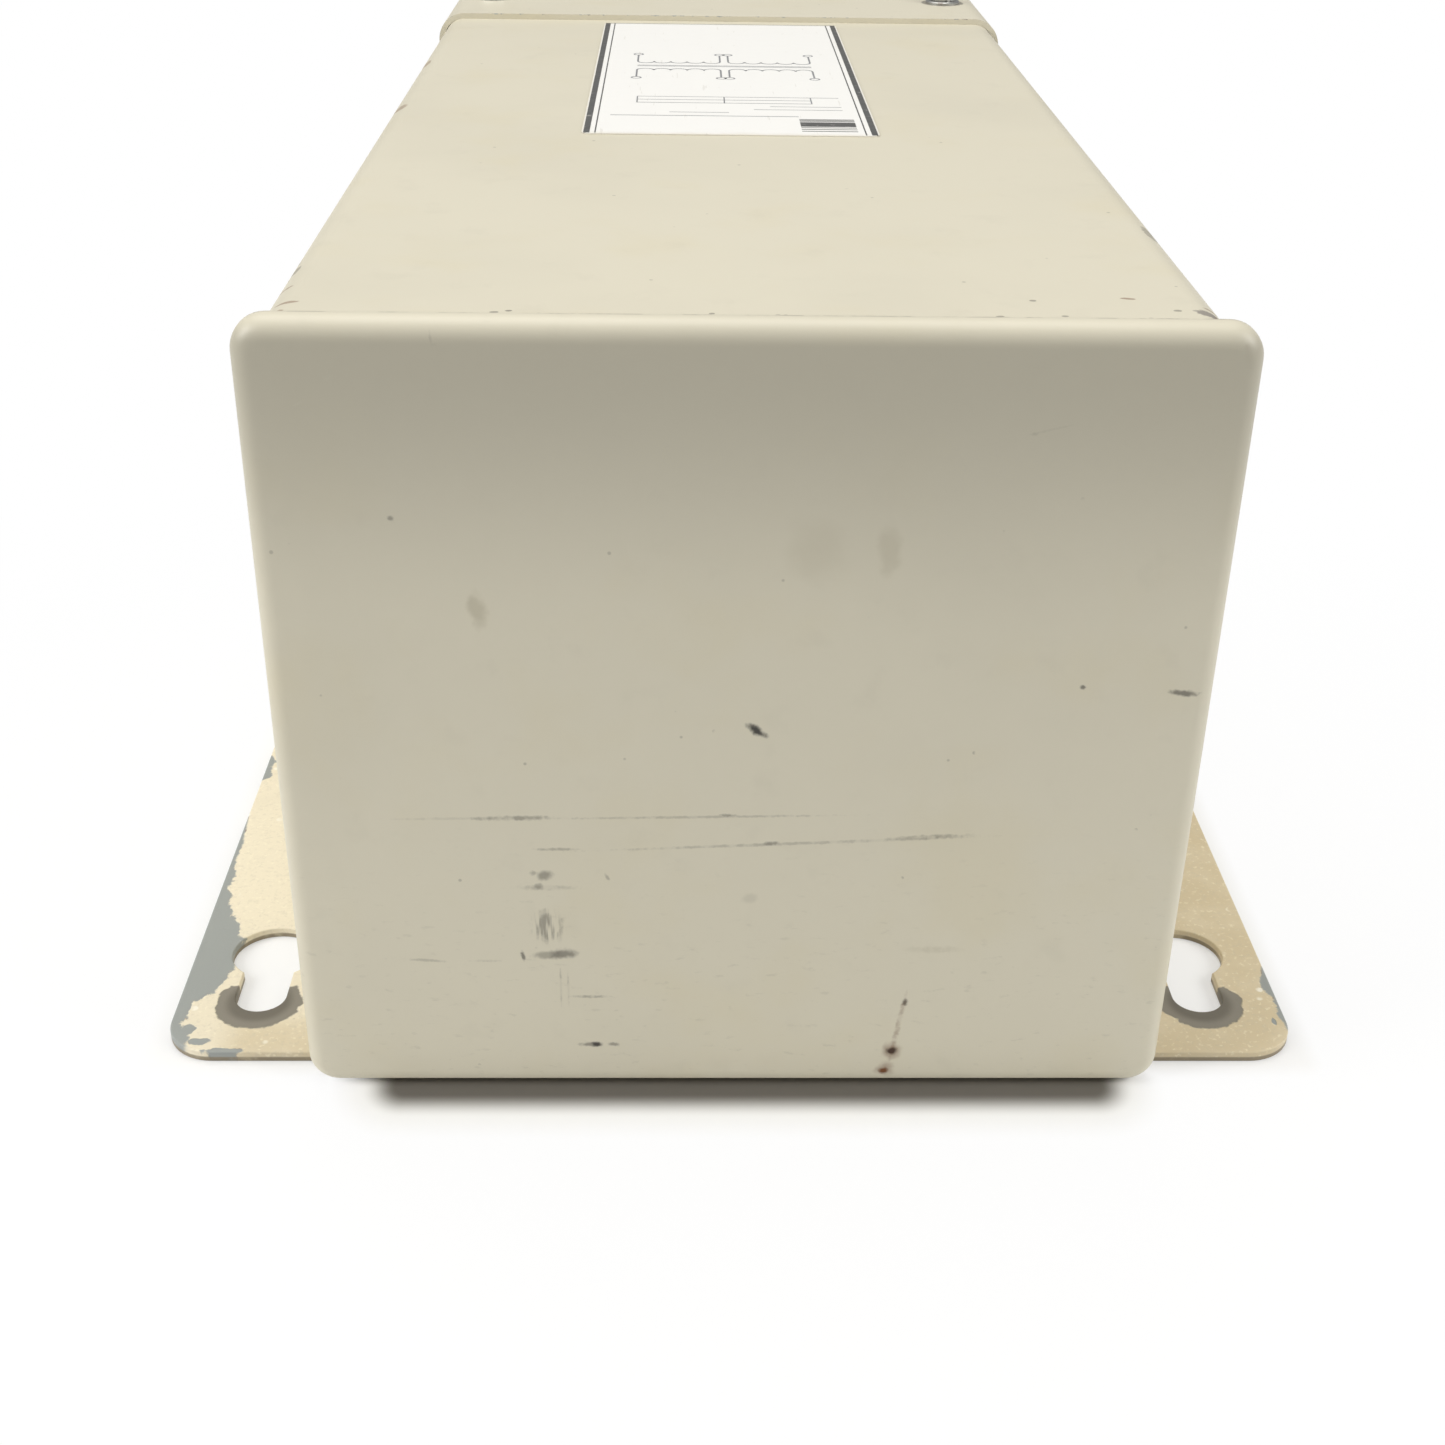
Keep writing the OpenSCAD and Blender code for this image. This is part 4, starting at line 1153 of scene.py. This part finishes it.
class TRANSFORMER_OT_cover(bpy.types.Operator):
    """Paint the wiring cover and shape its screws"""

    bl_idname = "transformer.cover"
    bl_label = "Wiring cover"

    def execute(self, context):
        paint = context.scene.transformer_paint
        zinc = zinc_plate("screw_zinc", screen_colour(186, 186, 182))
        places = []
        for number, turn in ((1, 0.5), (2, 1.9), (3, 2.6), (4, 0.1)):
            node = f"cover_screw_{number}"
            low, high = node_box(node)
            places.append(((low.x + high.x) / 2, (low.y + high.y) / 2))
            shaped_screw(f"{node}_slotted", node, node, zinc, turn)
        dress(cover_enamel(paint, places), "wiring_cover")
        return {"FINISHED"}


class TRANSFORMER_OT_core(bpy.types.Operator):
    """Finish the potted core, the coil and what clamps them"""

    bl_idname = "transformer.core"
    bl_label = "Core and coil"

    def execute(self, context):
        dress(laminations("stack_edges", screen_colour(132, 134, 138)), "core_e_stack", "core_i_stack")
        dress(wound_wire("inner_wire", screen_colour(170, 92, 52), 2.4), "secondary_winding")
        dress(wound_wire("outer_wire", screen_colour(176, 100, 58), 1.1), "primary_winding")
        dress_plain("former_nylon", (214, 204, 172), 0.5, "coil_former", grain=1.0, contrast=0.9)
        dress_plain("varnished_paper", (188, 148, 88), 0.45, "winding_insulation", "coil_wrap",
                    grain=1.0, contrast=0.8, stretch=(1, 6, 1), bump=0.03)
        compound = speckled("sand_and_resin", screen_colour(84, 80, 76), 0.75,
                            grain=0.7, contrast=0.55, bump=0.08)
        sand = compound.ramp(compound.cells(1.4), 0.2, 0.05)
        compound.layer(compound.fade(sand, 0.5), screen_colour(150, 140, 120))
        dress(compound.done(), "potting_compound")
        zinc = zinc_plate("clamp_zinc", screen_colour(178, 178, 170))
        dress(zinc, "core_clamp_bars", "core_bolts", "core_nuts")
        return {"FINISHED"}


class TRANSFORMER_OT_terminals(bpy.types.Operator):
    """Finish the terminals, the leads, the board and the ground connection"""

    bl_idname = "transformer.terminals"
    bl_label = "Terminals and leads"

    def execute(self, context):
        dress_plain("red_insulation", (150, 40, 34), 0.38, "primary_leads", grain=0.8, contrast=0.8)
        dress_plain("black_insulation", RUBBER_BLACK, 0.38, "secondary_leads", grain=0.8, contrast=0.7)
        dress_plain("laminate_board", (128, 92, 60), 0.5, "barrier_board",
                    grain=1.2, contrast=0.7, stretch=(5, 1, 1))
        dress_plain("bushing_rubber", RUBBER_BLACK, 0.8, "lead_bushings", grain=0.5, contrast=0.7)
        dress_plain("phenolic_moulding", (62, 50, 44), 0.35, "terminal_block", grain=0.6, contrast=0.6)
        dress_plain("stamped_brass", (202, 168, 92), 0.3, "terminal_bars",
                    metallic=0.95, grain=1.0, contrast=0.72)
        zinc = zinc_plate("terminal_zinc", screen_colour(188, 188, 186))
        dress(zinc, "terminal_block_screws", "terminal_washers", "terminal_screws",
              "cover_nut_plates", "ground_boss", "ground_clamp_screw")
        dress_plain("lug_copper", (190, 118, 78), 0.34, "ground_lug", metallic=0.95, grain=1.4, contrast=0.6)
        green = speckled("green_zinc", screen_colour(58, 132, 70), 0.36, 0.7, grain=0.8, contrast=0.7)
        shaped_screw("ground_screw_slotted", "ground_screw", "ground_screw", green.done(), 0.8)
        return {"FINISHED"}


STEPS = (
    TRANSFORMER_OT_stage,
    TRANSFORMER_OT_end_cap,
    TRANSFORMER_OT_body,
    TRANSFORMER_OT_plate,
    TRANSFORMER_OT_nameplate,
    TRANSFORMER_OT_cover,
    TRANSFORMER_OT_core,
    TRANSFORMER_OT_terminals,
)


class TRANSFORMER_PT_steps(bpy.types.Panel):
    """Lists the steps that finish the transformer"""

    bl_label = "Transformer"
    bl_idname = "TRANSFORMER_PT_steps"
    bl_space_type = "VIEW_3D"
    bl_region_type = "UI"
    bl_category = "Transformer"

    def draw(self, context):
        for step in STEPS:
            self.layout.operator(step.bl_idname)


SETTINGS = {
    "transformer_paint": PaintSettings,
    "transformer_cap": CapSettings,
    "transformer_label": LabelSettings,
    "transformer_studio": StudioSettings,
}
CLASSES = (*SETTINGS.values(), *STEPS, TRANSFORMER_PT_steps)


def register():
    for cls in CLASSES:
        bpy.utils.register_class(cls)
    for name, cls in SETTINGS.items():
        setattr(bpy.types.Scene, name, PointerProperty(type=cls))


def unregister():
    for name in SETTINGS:
        delattr(bpy.types.Scene, name)
    for cls in reversed(CLASSES):
        bpy.utils.unregister_class(cls)


def main():
    register()
    for step in STEPS:
        group, name = step.bl_idname.split(".")
        getattr(getattr(bpy.ops, group), name)()


if __name__ == "__main__":
    main()
